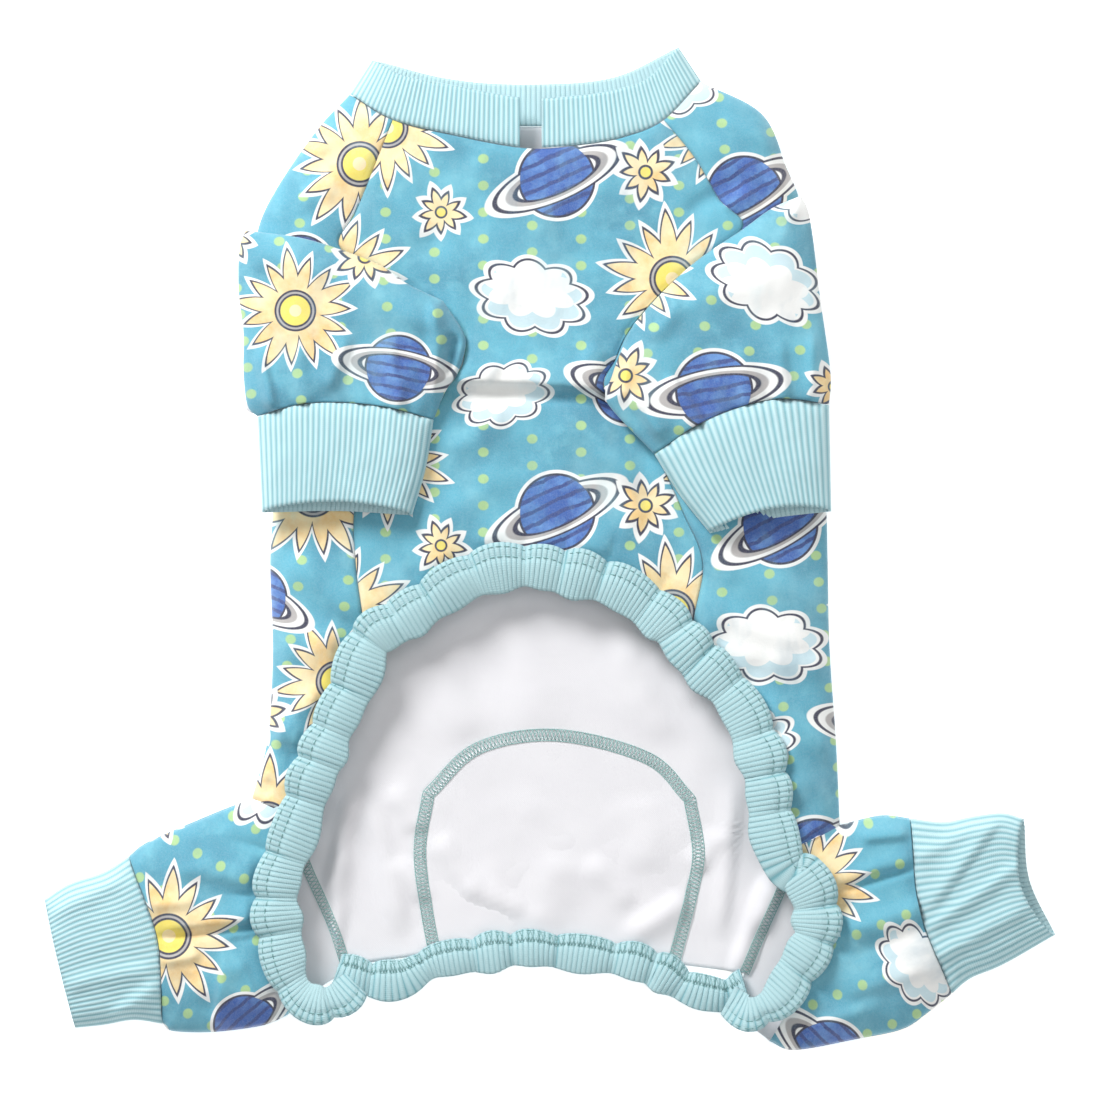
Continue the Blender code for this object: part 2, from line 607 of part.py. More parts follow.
def make_sleeve(side):
    """A sleeve laid back over the belly: closed over the armhole, open at the cuff, with a hole below."""
    place = sleeve_places(side)
    across, along = crowded(SLEEVE_ACROSS), crowded_first(SLEEVE_ALONG)
    fold = at_shares(place["fold"], across)
    cuff_seam = at_shares(place["cuff_seam"], across)
    outer, inner = at_shares(place["outer"], along), at_shares(place["inner"], along)
    grid = loft(fold, cuff_seam, outer, inner, across, along)
    grid = drawn_in(grid, ["last"])
    edges = [fold, outer, inner] + [at_shares(place["cuff_outer"], even(CUFF_ALONG)),
                                    at_shares(place["cuff_inner"], even(CUFF_ALONG))]
    top = raise_grid(grid, lambda p: upper(p, edges, SLEEVE_BASE, SLEEVE_HEIGHT))
    low = raise_grid(grid, lambda p: under(p, edges, SLEEVE_BASE))
    return cloth(side + "_sleeve", [(top, True), (low, False)], FABRIC_WALL, "print_aqua")


def make_front_cuff(side):
    place = sleeve_places(side)
    across, along = crowded(SLEEVE_ACROSS), even(CUFF_ALONG)
    outer, inner = at_shares(place["cuff_outer"], along), at_shares(place["cuff_inner"], along)
    grid = loft(at_shares(place["cuff_seam"], across), at_shares(place["hem"], across), outer, inner,
                across, along)
    grid = drawn_in(grid, ["first"])
    sleeve_sides = [at_shares(place[name], even(SLEEVE_ALONG)) for name in ("outer", "inner")]
    edges = sleeve_sides + [outer, inner]
    top = raise_grid(grid, lambda p: upper(p, edges, SLEEVE_BASE, SLEEVE_HEIGHT))
    low = raise_grid(grid, lambda p: under(p, edges, SLEEVE_BASE))
    return cloth(side + "_front_cuff", [(top, True), (low, False)], RIB_WALL, "rib_aqua")


def make_armhole_cutter(side):
    ring = [on_body(p) for p in ARMHOLES[side]]
    outline = catmull(ring + [ring[0]], 2)[:-1]
    return cutter(side + "_armhole", outline, BODY_HEIGHT - 2 * FABRIC_WALL, SLEEVE_BASE + ARMHOLE_REACH)


LEG_ACROSS = 10
LEG_ALONG = 8


def make_leg(side):
    """A hind leg: the upper layer ends at the belly opening, the under layer at the seam on the back."""
    place = LEG_PLACES[side]
    leg = LEGS[side]
    corner = seam_left[-1] if side == "left" else seam_right[-1]
    edge = LEG_EDGE_LEFT if side == "left" else LEG_EDGE_RIGHT
    back = LEG_SEAM_LEFT if side == "left" else LEG_SEAM_RIGHT
    across, along = crowded(LEG_ACROSS), even(LEG_ALONG)
    upper_fold = at_shares(place["upper"], along)
    lower_fold = at_shares(place["lower"], along)
    cuff_seam = at_shares(place["seam"], across)
    hip_to_corner = at_shares([place["hip"], corner], [0.5, 1.0])
    opening = at_shares([hip_to_corner[1]] + [on_body(p) for p in edge], even(LEG_ACROSS - 2))
    top_inner = [place["hip"], hip_to_corner[0]] + opening
    under_inner = catmull([place["hip"]] + [on_body(p) for p in back], ROW_STEPS)
    under_inner += catmull([under_inner[-1]] + [on_body(p) for p in leg["inner"]] + [place["heel"]], 1)[1:]

    def layer(inner):
        grid = loft(upper_fold, lower_fold, inner, cuff_seam, along, across)
        return drawn_in(grid, ["start", "end"])

    top = layer(top_inner[:len(across)])
    low = layer(under_inner)
    for grid in (top, low):
        grid[0] = list(upper_fold)
        grid[-1] = list(lower_fold)
        grid[0][0] = upper_fold[0].lerp(upper_fold[1], SEAM_GAP / (upper_fold[1] - upper_fold[0]).length)
        grid[0][-1] = upper_fold[-1].lerp(upper_fold[-2], SEAM_GAP / (upper_fold[-1] - upper_fold[-2]).length)
        grid[-1][-1] = lower_fold[-1].lerp(lower_fold[-2],
                                           SEAM_GAP / (lower_fold[-1] - lower_fold[-2]).length)
    patches = [(raise_grid(top, body_top), True), (raise_grid(low, body_under), False)]
    return cloth(side + "_leg", patches, FABRIC_WALL, "print_aqua")


def make_hind_cuff(side):
    place = LEG_PLACES[side]
    across, along = crowded(LEG_ACROSS), even(CUFF_ALONG)
    upper_fold, lower_fold = at_shares(place["cuff_upper"], along), at_shares(place["cuff_lower"], along)
    grid = loft(at_shares(place["seam"], across), at_shares(place["hem"], across), upper_fold, lower_fold,
                across, along)
    grid = drawn_in(grid, ["first"])
    patches = [(raise_grid(grid, body_top), True), (raise_grid(grid, body_under), False)]
    return cloth(side + "_hind_cuff", patches, RIB_WALL, "rib_aqua")


TRIM_ACROSS = 3
OPENING_TRIM_STEPS, RUMP_TRIM_STEPS = 126, 36
# How high a puff stands at the sewn edge, and by how much more it stands at the free edge
OPENING_PUFF_SHARES, RUMP_PUFF_SHARES = (1.0, -0.6), (0.5, 0.5)
# Where across the rump's trim its under side comes down onto the surface: from here, over this share
RUMP_TRIM_DROP_FROM, RUMP_TRIM_DROP_OVER = 0.3, 0.5


def trim_band(name, line, count, low, puff_shares, slim):
    """A gathered rib band along a line: sewn edge outside the line, free edge the other way."""
    path = at_shares(line, even(count))
    lap, free = TRIM_LAP, TRIM_WIDTH - TRIM_LAP
    length = sum((b - a).length for a, b in zip(path, path[1:]))
    waves = round(length / GATHER_PITCH)
    grid = []
    for n, point in enumerate(path):
        along = path[min(count, n + 1)] - path[max(0, n - 1)]
        square = Vector((-along.y, along.x)).normalized()
        puff = 0.5 - 0.5 * math.cos(2 * math.pi * waves * n / count)
        base = low(n / count)
        row = []
        width = lap + free * slim(n / count) + GATHER_DEPTH * puff
        for k in range(TRIM_ACROSS + 1):
            share = k / TRIM_ACROSS
            reach = lap + GATHER_DEPTH * puff - share * width
            rise = RUFFLE_HEIGHT * puff * (puff_shares[0] + puff_shares[1] * share)
            place = point + square * reach
            row.append(Vector((place.x, place.y, base(share) + rise)))
        grid.append(row)
    return cloth(name, [(grid, True)], TRIM_WALL, "rib_aqua", offset=1.0)


def make_opening_trim():
    left_leg = [on_body(p) for p in TRIM_END_LEFT] + [on_body(p) for p in LEG_EDGE_LEFT[1::-1]]
    right_leg = [on_body(p) for p in TRIM_END_RIGHT[::-1]]
    last_row = BELLY_ROWS * ROW_STEPS
    left_side = seam_left[:last_row - 1:-ROW_STEPS]
    right_side = seam_right[last_row::ROW_STEPS]
    arch = [on_body(p) for p in OPENING_ARCH]
    line = left_leg + left_side + arch + right_side + right_leg
    up, down = BODY_HEIGHT + LAY_GAP, TRIM_TIP_HEIGHT

    def low(share):
        from_tip = min(share, 1 - share) / TRIM_DOWN_SHARE
        height = down + (up - down) * ease(from_tip)
        return lambda across: height

    def slim(share):
        return TRIM_TIP_WIDTH + (1 - TRIM_TIP_WIDTH) * ease(min(share, 1 - share) / TRIM_TURN_SHARE - 1)

    return trim_band("opening_trim", line, OPENING_TRIM_STEPS, low, OPENING_PUFF_SHARES, slim)


def make_rump_trim():
    line = [on_body(p) for p in RUMP_TRIM_LINE]
    down = FABRIC_WALL + LAY_GAP

    def low(share):
        return lambda across: down - (down - LAY_GAP) * ease((across - RUMP_TRIM_DROP_FROM) / RUMP_TRIM_DROP_OVER)

    return trim_band("rump_trim", line, RUMP_TRIM_STEPS, low, RUMP_PUFF_SHARES, lambda share: RUMP_TRIM_SLIM)


def centre_on_origin():
    """Moves everything in plan so that the middle of the suit's outline is the origin."""
    places = [v.co for piece in PIECES.objects for v in piece.data.vertices]
    low = Vector((min(p.x for p in places), min(p.y for p in places), 0.0))
    high = Vector((max(p.x for p in places), max(p.y for p in places), 0.0))
    for item in list(PIECES.objects) + list(CUTTERS.objects):
        item.data.transform(Matrix.Translation(-(low + high) / 2))


back = make_back()
cut(back, make_insert_cutter())
make_insert()
make_belly()
make_collar()
for side_name in ("left", "right"):
    sleeve = make_sleeve(side_name)
    armhole = make_armhole_cutter(side_name)
    cut(sleeve, armhole)
    cut(back, armhole)
    make_front_cuff(side_name)
    make_leg(side_name)
    make_hind_cuff(side_name)
make_opening_trim()
make_rump_trim()
centre_on_origin()
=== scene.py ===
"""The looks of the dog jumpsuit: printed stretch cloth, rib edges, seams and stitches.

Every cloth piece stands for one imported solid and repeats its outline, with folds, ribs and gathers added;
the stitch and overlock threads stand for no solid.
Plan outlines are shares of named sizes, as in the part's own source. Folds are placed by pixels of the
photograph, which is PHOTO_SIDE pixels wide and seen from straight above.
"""

import math

import bmesh
import bpy
import numpy as np
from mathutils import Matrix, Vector, noise


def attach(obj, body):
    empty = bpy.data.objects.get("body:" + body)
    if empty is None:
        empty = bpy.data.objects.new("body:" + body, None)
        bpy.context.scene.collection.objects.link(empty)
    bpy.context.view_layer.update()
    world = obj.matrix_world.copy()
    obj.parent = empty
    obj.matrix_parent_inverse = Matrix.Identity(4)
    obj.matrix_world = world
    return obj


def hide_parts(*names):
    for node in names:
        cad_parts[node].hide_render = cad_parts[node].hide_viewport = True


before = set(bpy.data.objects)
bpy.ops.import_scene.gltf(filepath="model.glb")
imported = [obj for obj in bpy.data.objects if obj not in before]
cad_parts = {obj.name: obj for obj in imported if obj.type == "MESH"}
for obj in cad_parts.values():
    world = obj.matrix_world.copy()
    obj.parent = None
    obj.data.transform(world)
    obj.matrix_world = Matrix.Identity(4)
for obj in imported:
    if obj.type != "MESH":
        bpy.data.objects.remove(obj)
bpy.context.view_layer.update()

# Driving sizes, metres, as in the part
BODY_LENGTH = 0.450
CHEST_WIDTH = 0.2475
NECK_WIDTH = 0.159
BODY_HEIGHT = 0.014
COLLAR_HEIGHT = 0.0225
COLLAR_SPLIT = 0.010
SLEEVE_LENGTH = 0.081
SLEEVE_WIDTH = 0.0756
SLEEVE_HEIGHT = 0.0125
FRONT_CUFF_LENGTH = 0.045
FRONT_CUFF_WIDTH = 0.0635
LEG_LENGTH = 0.0585
LEG_WIDTH = 0.0775
HIND_CUFF_LENGTH = 0.045
HIND_CUFF_WIDTH = 0.0585
TRIM_WIDTH = 0.0190
TRIM_LAP = 0.0045
TRIM_TIP_HEIGHT = 0.0072
FOLD_LIFT = 0.0036
FOLD_ROUND = 0.026
UNDER_ROUND = 0.0055
LAY_GAP = 0.0003
SLEEVE_BASE = BODY_HEIGHT + LAY_GAP
NECK_CENTRE = -0.045

# The photograph's frame
PHOTO_SIDE = 1100
PIXEL = 0.00045
SHIFT = np.array([-0.000030, -0.000678])

# Cloth, metres
PRINT_WALL = 0.0009
RIB_WALL = 0.0012
RIB_PITCH = 0.0023
RIB_RELIEF = 0.00042
RIB_STEPS = 6

# Plan outlines: across the neck or the chest, then along the body
NECK_EDGE_LEFT, NECK_EDGE_RIGHT = (-0.500, 0.457), (0.500, 0.470)
NECK_SEAM_LEFT, NECK_SEAM_RIGHT = (-0.375, 0.430), (0.392, 0.430)
NECK_FRONT = [(-0.194, 0.414), (0.000, 0.402), (0.160, 0.405), (0.279, 0.413)]
NECK_BACK = [(-0.242, 0.432), (0.000, 0.425), (0.268, 0.433)]
# Folded edge and seam on the left, seam and folded edge on the right
TORSO_ROWS = [
    ((-0.425, 0.422), (-0.318, 0.385), (0.262, 0.393), (0.387, 0.438)),
    ((-0.500, 0.362), (-0.353, 0.338), (0.309, 0.350), (0.431, 0.385)),
    ((-0.533, 0.322), (-0.380, 0.301), (0.349, 0.320), (0.456, 0.350)),
    ((-0.535, 0.288), (-0.256, 0.265), (0.227, 0.270), (0.465, 0.300)),
    ((-0.531, 0.250), (-0.173, 0.228), (0.151, 0.225), (0.473, 0.255)),
    ((-0.525, 0.210), (-0.155, 0.198), (0.120, 0.192), (0.480, 0.210)),
    ((-0.520, 0.165), (-0.182, 0.167), (0.100, 0.157), (0.487, 0.165)),
    ((-0.513, 0.115), (-0.300, 0.110), (0.191, 0.095), (0.496, 0.110)),
    ((-0.505, 0.060), (-0.353, 0.050), (0.244, 0.035), (0.504, 0.050)),
    ((-0.511, -0.010), (-0.353, -0.015), (0.278, -0.015), (0.507, -0.010)),
    ((-0.507, -0.075), (-0.340, -0.084), (0.262, -0.090), (0.509, -0.075)),
    ((-0.507, -0.123), (-0.373, -0.126), (0.347, -0.140), (0.513, -0.123)),
    ((-0.516, -0.191), (-0.429, -0.196), (0.396, -0.195), (0.522, -0.191)),
    ((-0.544, -0.249), (-0.473, -0.265), (0.436, -0.302), (0.529, -0.276)),
]
BELLY_ROWS = 11
OPENING_ARCH = [(-0.287, -0.062), (-0.213, -0.038), (-0.136, -0.013), (-0.045, -0.006), (0.064, -0.016),
                (0.151, -0.034), (0.222, -0.062)]
LEG_SEAM_LEFT = [(-0.473, -0.288), (-0.431, -0.335), (-0.395, -0.380), (-0.373, -0.418)]
LEG_SEAM_RIGHT = [(0.455, -0.305), (0.415, -0.350), (0.382, -0.390), (0.355, -0.425)]
RUMP_EDGE = [(-0.200, -0.405), (-0.009, -0.395), (0.178, -0.412)]
INSERT_LEFT = [(-0.222, -0.245), (-0.238, -0.300), (-0.227, -0.356), (-0.211, -0.4055)]
INSERT_TOP = [(-0.131, -0.199), (0.013, -0.186), (0.178, -0.209)]
INSERT_RIGHT = [(0.255, -0.250), (0.271, -0.303), (0.258, -0.347), (0.225, -0.4165)]
LEG_EDGE_LEFT = [(-0.504, -0.310), (-0.515, -0.355), (-0.507, -0.400), (-0.485, -0.435), (-0.473, -0.464)]
LEG_EDGE_RIGHT = [(0.476, -0.314), (0.509, -0.350), (0.505, -0.390), (0.470, -0.424), (0.440, -0.454),
                  (0.400, -0.493)]
TRIM_END_LEFT = [(-0.350, -0.437), (-0.382, -0.453), (-0.418, -0.459), (-0.457, -0.451), (-0.487, -0.430),
                 (-0.506, -0.398)]
TRIM_END_RIGHT = [(0.322, -0.456), (0.362, -0.466), (0.404, -0.458), (0.438, -0.440), (0.470, -0.418),
                  (0.500, -0.388), (0.500, -0.350), (0.470, -0.318)]
TRIM_DOWN_SHARE = 0.028
TRIM_TIP_WIDTH = 0.62
TRIM_TURN_SHARE = 0.045
RUMP_TRIM_SLIM = 0.68
RUMP_TRIM_LINE = [(-0.350, -0.424), (-0.275, -0.426), (-0.200, -0.407), (-0.009, -0.396), (0.178, -0.413),
                  (0.258, -0.436), (0.318, -0.442)]
SLEEVES = {
    "left": {
        "fold": [(-0.553, 0.319), (-0.455, 0.312), (-0.380, 0.300), (-0.307, 0.284), (-0.256, 0.265),
                 (-0.195, 0.249)],
        "seam": [(-0.195, 0.249), (-0.160, 0.220), (-0.153, 0.203), (-0.168, 0.176), (-0.190, 0.158)],
        "outer": [(0.10, 0.040), (0.33, 0.058), (0.55, 0.046), (0.76, 0.060), (0.94, 0.050)],
        "anchor": (-0.381, 0.312), "reach": (0.03, -1.00), "tilt": -1.0, "width": 1.048, "bow": 0.085,
        "cuff_reach": (-0.084, -0.96), "cuff_tilt": -1.0, "cuff_width": 1.063, "cuff_bow": 0.02,
    },
    "right": {
        "fold": [(0.456, 0.354), (0.402, 0.341), (0.349, 0.320), (0.276, 0.293), (0.227, 0.270),
                 (0.193, 0.251), (0.151, 0.225)],
        "seam": [(0.151, 0.225), (0.124, 0.192), (0.110, 0.170), (0.100, 0.157), (0.113, 0.140)],
        "outer": [(0.12, 0.027), (0.50, 0.025), (0.85, 0.026)],
        "anchor": (0.348, 0.315), "reach": (0.00, -1.08), "tilt": 15.8, "width": 1.082, "bow": 0.120,
        "cuff_reach": (0.29, -0.93), "cuff_tilt": 10.3, "cuff_width": 0.872, "cuff_bow": 0.03,
    },
}
LEGS = {
    "left": {
        "anchor": (-0.515, -0.355), "reach": (-0.94, -0.28), "tilt": -78.6, "width": 1.00, "bow": -0.075,
        "upper": [(0.36, -0.021), (0.83, -0.034)],
        "lower": [(0.07, 0.037), (0.25, 0.086), (0.62, 0.098), (0.93, 0.061)],
        "inner": [(-0.420, -0.440)],
        "cuff_reach": (-0.865, -0.24), "cuff_tilt": -76.5, "cuff_width": 1.02, "cuff_bow": 0.010,
        "cuff_upper": [(0.31, 0.028), (0.69, -0.028)], "cuff_lower": [(0.33, -0.060), (0.67, -0.020)],
    },
    "right": {
        "anchor": (0.509, -0.350), "reach": (0.785, -0.058), "tilt": -76.6, "width": 1.055, "bow": 0.070,
        "upper": [(0.36, -0.058), (0.66, -0.076)],
        "lower": [(0.12, 0.080), (0.45, 0.106), (0.70, 0.116), (0.86, 0.062)],
        "inner": [(0.348, -0.466)],
        "cuff_reach": (1.10, 0.295), "cuff_tilt": -75.0, "cuff_width": 0.925, "cuff_bow": 0.090,
        "cuff_upper": [(0.30, -0.030), (0.56, 0.022), (0.81, 0.050)],
        "cuff_lower": [(0.20, 0.035), (0.50, 0.0)],
    },
}
# Where the rump trim's ends run on under the tips of the opening's trim
RUMP_TRIM_UNDER = [(-0.385, -0.418), (0.356, -0.436)]
COLLAR_CORNER_LEAN = 0.46
COLLAR_CORNER_RISE = 0.70
COLLAR_BACK_RISE = 0.86

# Folds of the cloth: from, to (pixels of the photograph), half width and height in millimetres, and how far
# the fold leans to the left of its way, from -1 to 1
BODY_FOLDS = [
    ((450, 381), (530, 383), 5.0, 3.3, -1.0),
    ((526, 383), (608, 390), 5.0, 3.3, -1.0),
    ((446, 366), (612, 372), 11.0, 1.2, -0.5),
    ((448, 391), (532, 394), 2.6, -1.8, 0.0),
    ((528, 394), (610, 401), 2.6, -1.8, 0.0),
    ((462, 340), (500, 372), 6.0, 1.8, 0.5),
    ((600, 345), (572, 380), 6.0, 1.8, -0.5),
    ((455, 452), (505, 412), 7.0, 1.7, 0.3),
    ((560, 412), (640, 480), 8.0, 1.9, 0.5),
    ((600, 400), (660, 455), 6.0, -1.6, 0.0),
    ((425, 545), (505, 470), 9.0, 1.3, 0.2),
    ((600, 560), (640, 500), 8.0, 1.6, -0.2),
    ((470, 160), (560, 225), 13.0, 1.3, 0.0),
    ((580, 160), (650, 235), 10.0, 1.4, 0.2),
    ((400, 160), (425, 235), 8.0, 1.5, 0.0),
    ((440, 260), (560, 300), 14.0, 1.2, 0.0),
    ((300, 200), (378, 145), 6.0, 1.6, 0.3),
    ((285, 165), (345, 130), 5.0, 1.2, -0.3),
    ((700, 140), (795, 190), 6.0, 1.8, 0.4),
    ((722, 120), (785, 150), 5.0, 1.2, 0.3),
    ((690, 212), (742, 178), 4.5, -1.5, 0.0),
    ((722, 208), (752, 192), 3.0, 1.8, 0.3),
    ((290, 560), (350, 610), 7.0, 2.0, 0.4),
    ((278, 655), (345, 632), 6.0, 1.8, 0.2),
    ((262, 600), (300, 640), 6.0, 1.5, 0.3),
    ((268, 745), (316, 690), 5.0, 2.2, 0.5),
    ((254, 772), (304, 776), 4.0, 2.8, 0.8),
    ((252, 792), (296, 766), 3.2, -2.2, 0.0),
    ((266, 726), (304, 748), 3.6, 2.0, -0.5),
    ((715, 560), (822, 605), 8.0, 1.7, 0.3),
    ((700, 605), (800, 645), 6.0, 2.1, 0.5),
    ((740, 655), (830, 668), 6.0, 1.9, 0.3),
    ((765, 698), (832, 752), 6.0, 2.2, 0.5),
    ((778, 735), (832, 812), 5.0, 2.0, 0.4),
    ((702, 520), (790, 530), 8.0, 1.4, 0.0),
]
SLEEVE_FOLDS = [
    ((434, 296), (437, 396), 4.2, 3.0, -0.7),
    ((458, 336), (446, 376), 3.2, -4.2, 0.0),
    ((470, 330), (462, 385), 3.2, 2.0, 0.4),
    ((440, 300), (470, 322), 4.0, 1.6, 0.2),
    ((262, 352), (276, 412), 3.2, 2.4, 0.6),
    ((328, 392), (350, 338), 4.0, 2.4, -0.5),
    ((390, 345), (402, 412), 4.2, 1.9, 0.4),
    ((300, 345), (310, 410), 3.2, 1.5, 0.0),
    ((258, 250), (335, 272), 7.0, 1.4, 0.2),
    ((346, 272), (430, 330), 7.0, 1.8, 0.4),
    ((252, 300), (300, 340), 7.0, 1.4, 0.2),
    ((628, 322), (622, 400), 4.0, 1.9, 0.4),
    ((652, 340), (680, 300), 4.5, 2.0, 0.3),
    ((668, 378), (704, 432), 3.8, 2.5, 0.6),
    ((676, 372), (712, 418), 3.0, -1.5, 0.0),
    ((735, 345), (752, 410), 4.2, 2.0, -0.4),
    ((778, 345), (786, 402), 3.5, 1.7, 0.3),
    ((812, 335), (812, 402), 3.5, 1.8, -0.3),
    ((636, 398), (662, 438), 4.0, 2.2, -0.4),
    ((690, 300), (795, 276), 9.0, 1.6, 0.2),
    ((745, 212), (800, 214), 5.0, 1.8, -0.4),
]
LEG_FOLDS = [
    ((268, 925), (160, 938), 2.0, -2.2, 0.0),
    ((262, 916), (168, 926), 4.5, 1.5, 0.4),
    ((250, 880), (178, 868), 6.0, 1.6, 0.3),
    ((225, 955), (216, 1030), 5.0, 3.0, -0.7),
    ((238, 960), (262, 1010), 4.5, 2.0, 0.5),
    ((250, 1005), (190, 985), 6.0, 1.5, 0.3),
    ((150, 905), (195, 900), 3.5, 1.8, 0.3),
    ((160, 962), (200, 955), 3.0, 1.7, -0.3),
    ((832, 893), (914, 868), 2.0, -2.2, 0.0),
    ((842, 878), (910, 856), 4.5, 1.5, 0.4),
    ((850, 930), (930, 903), 7.0, 2.4, 0.6),
    ((860, 950), (935, 925), 5.0, -1.6, 0.0),
    ((845, 992), (938, 965), 6.0, 1.7, -0.3),
    ((812, 1028), (880, 1005), 5.0, 1.6, 0.3),
    ((862, 838), (908, 834), 4.0, 2.2, -0.5),
]
CUFF_FOLDS = [
    ((1000, 815), (930, 905), 3.5, 1.8, 0.4),
    ((1022, 862), (925, 930), 3.2, 1.6, -0.4),
    ((1030, 905), (930, 962), 4.0, 1.5, 0.3),
    ((985, 822), (915, 860), 3.5, 1.3, 0.0),
    ((50, 915), (120, 880), 4.0, 1.3, 0.3),
    ((66, 985), (150, 968), 4.0, 1.2, 0.2),
    ((110, 1020), (158, 985), 4.0, 1.5, 0.3),
]
# Creases of the white inside, which rise only
INSIDE_FOLDS = [
    ((352, 790), (330, 900), 4.0, 2.2, 0.4),
    ((372, 800), (402, 930), 5.0, 1.8, 0.3),
    ((345, 850), (330, 955), 4.0, 1.8, -0.3),
    ((392, 790), (420, 830), 5.0, 1.6, 0.3),
    ((398, 862), (424, 900), 4.5, 1.6, 0.3),
    ((735, 790), (722, 930), 4.0, 2.0, 0.3),
    ((722, 835), (698, 870), 5.0, 1.8, 0.3),
    ((768, 880), (735, 975), 4.0, 2.2, -0.4),
    ((796, 850), (760, 930), 4.0, 2.2, 0.4),
    ((430, 640), (470, 740), 9.0, 1.6, 0.0),
    ((620, 640), (665, 740), 9.0, 1.7, 0.2),
    ((530, 600), (535, 730), 12.0, 1.2, 0.0),
    ((360, 700), (420, 660), 8.0, 1.6, 0.2),
    ((700, 700), (660, 650), 8.0, 1.4, 0.2),
]
RUMP_FOLDS = [
    ((440, 840), (476, 892), 5.0, 1.8, 0.4),
    ((466, 890), (522, 914), 4.5, 1.8, -0.4),
    ((592, 860), (632, 905), 5.0, 1.7, 0.4),
    ((628, 938), (684, 900), 5.0, 2.2, 0.5),
    ((540, 930), (560, 860), 9.0, 1.3, 0.0),
    ((640, 800), (650, 870), 9.0, 1.0, 0.0),
]
FOLD_GAIN = 1.5
PUCKER_REACH = 0.010
PUCKER_HEIGHT = 0.0032
PUFF_PITCH = 0.0205


def linear(code):
    """A colour from its six-digit code, as the shader wants it."""
    parts = [int(code[i:i + 2], 16) / 255 for i in (0, 2, 4)]
    return tuple(p / 12.92 if p <= 0.04045 else ((p + 0.055) / 1.055) ** 2.4 for p in parts) + (1.0,)


AQUA = linear("57AEC6")
AQUA_DEEP = linear("4596B0")
DOT = linear("A8CF90")
NAVY = linear("171A3F")
AQUA_LIGHT = linear("74C2D4")
# Painted sheen and painted shade of the velour's pile
SHEEN = linear("9AD3DF")
SHADE = linear("2B7C9C")
ROYAL = linear("2A5DB0")
ROYAL_LIGHT = linear("5A8FD2")
ROYAL_DEEP = linear("1F3F86")
CREAM = linear("FBE6B4")
CREAM_DEEP = linear("F3CB84")
YELLOW = linear("F4E062")
PAPER = linear("F4F5F3")
GREY = linear("B2AEAD")
CLOUD_SHADE = linear("C9E2EA")
# Rib colours, for the plain rib and the edge rib: painted shade in the grooves and painted light on the
# crowns
RIB_CROWN_LIGHT = linear("C8E7EC")
RIB_GROOVE_SHADE = linear("8DC0CA")
EDGE_CROWN_LIGHT = linear("B7D9DE")
EDGE_GROOVE_SHADE = linear("76AEB8")
INSIDE = linear("EDECEF")
INSIDE_SHADE = linear("DAD9DE")
WHITE = linear("FFFFFF")
THREAD = linear("6FAEAA")
THREAD_DARK = linear("4C9496")


# Plan curves and grids

CURVE_STEPS = 24


def on_body(places):
    return np.asarray(places, float) * [CHEST_WIDTH, BODY_LENGTH]


def on_neck(places):
    return np.asarray(places, float) * [NECK_WIDTH, BODY_LENGTH] + [NECK_CENTRE * CHEST_WIDTH, 0.0]


def from_photo(pixels):
    """Plan places of pixels of the photograph, before the shift to the origin."""
    places = np.asarray(pixels, float)
    return np.stack([places[..., 0] - PHOTO_SIDE / 2, PHOTO_SIDE / 2 - places[..., 1]], -1) * PIXEL


def beside(start, end, rows):
    way = end - start
    left = np.array([-way[1], way[0]])
    return np.array([start] + [start + way * a + left * b for a, b in rows] + [end])


def catmull(points, steps):
    p = np.asarray(points, float)
    ends = np.vstack([2 * p[0] - p[1], p, 2 * p[-1] - p[-2]])
    t = (np.arange(steps) / steps)[:, None]
    out = []
    for a, b, c, d in zip(ends, ends[1:], ends[2:], ends[3:]):
        out.append(0.5 * (2 * b + (c - a) * t + (2 * a - 5 * b + 4 * c - d) * t ** 2
                          + (3 * b - a - 3 * c + d) * t ** 3))
    return np.vstack(out + [p[-1:]])


def reach_of(points):
    return np.concatenate([[0.0], np.cumsum(np.linalg.norm(np.diff(points, axis=0), axis=1))])


def at_shares(points, shares):
    fine = catmull(points, CURVE_STEPS)
    reach = reach_of(fine)
    target = np.asarray(shares) * reach[-1]
    return np.stack([np.interp(target, reach, fine[:, k]) for k in range(fine.shape[1])], axis=1)


def even(count):
    return np.linspace(0.0, 1.0, count + 1)


def crowded(count):
    return (1 - np.cos(math.pi * even(count))) / 2


def crowded_first(count):
    return even(count) ** 1.4


def loft(first, last, start, end, across, along, fade=1):
    u, v = across[None, :, None], along[:, None, None]
    first_bow = first - first[0] * (1 - across[:, None]) - first[-1] * across[:, None]
    last_bow = last - last[0] * (1 - across[:, None]) - last[-1] * across[:, None]
    return start[:, None] * (1 - u) + end[:, None] * u + first_bow * (1 - v) ** fade + last_bow * v ** fade


def dome(share):
    share = np.clip(share, 0.0, 1.0)
    return np.sqrt(share * (2 - share))


def ease(share):
    share = np.clip(share, 0.0, 1.0)
    return share * share * (3 - 2 * share)


def distance(points, lines):
    flat = points.reshape(-1, 2)
    nearest = np.full(len(flat), np.inf)
    for line in lines:
        for a, b in zip(line, line[1:]):
            way = b - a
            t = np.clip((flat - a) @ way / max(way @ way, 1e-12), 0, 1)
            nearest = np.minimum(nearest, np.linalg.norm(flat - a - t[:, None] * way, axis=1))
    return nearest.reshape(points.shape[:-1])


def along_line(points, line):
    """How far each place lies from a line, and how far along the line its nearest point is."""
    flat = points.reshape(-1, 2)
    nearest, along = np.full(len(flat), np.inf), np.zeros(len(flat))
    reach = reach_of(line)
    for a, b, from_start in zip(line, line[1:], reach):
        way = b - a
        t = np.clip((flat - a) @ way / max(way @ way, 1e-12), 0, 1)
        away = np.linalg.norm(flat - a - t[:, None] * way, axis=1)
        closer = away < nearest
        nearest = np.where(closer, away, nearest)
        along = np.where(closer, from_start + t * np.linalg.norm(way), along)
    return nearest.reshape(points.shape[:-1]), along.reshape(points.shape[:-1])


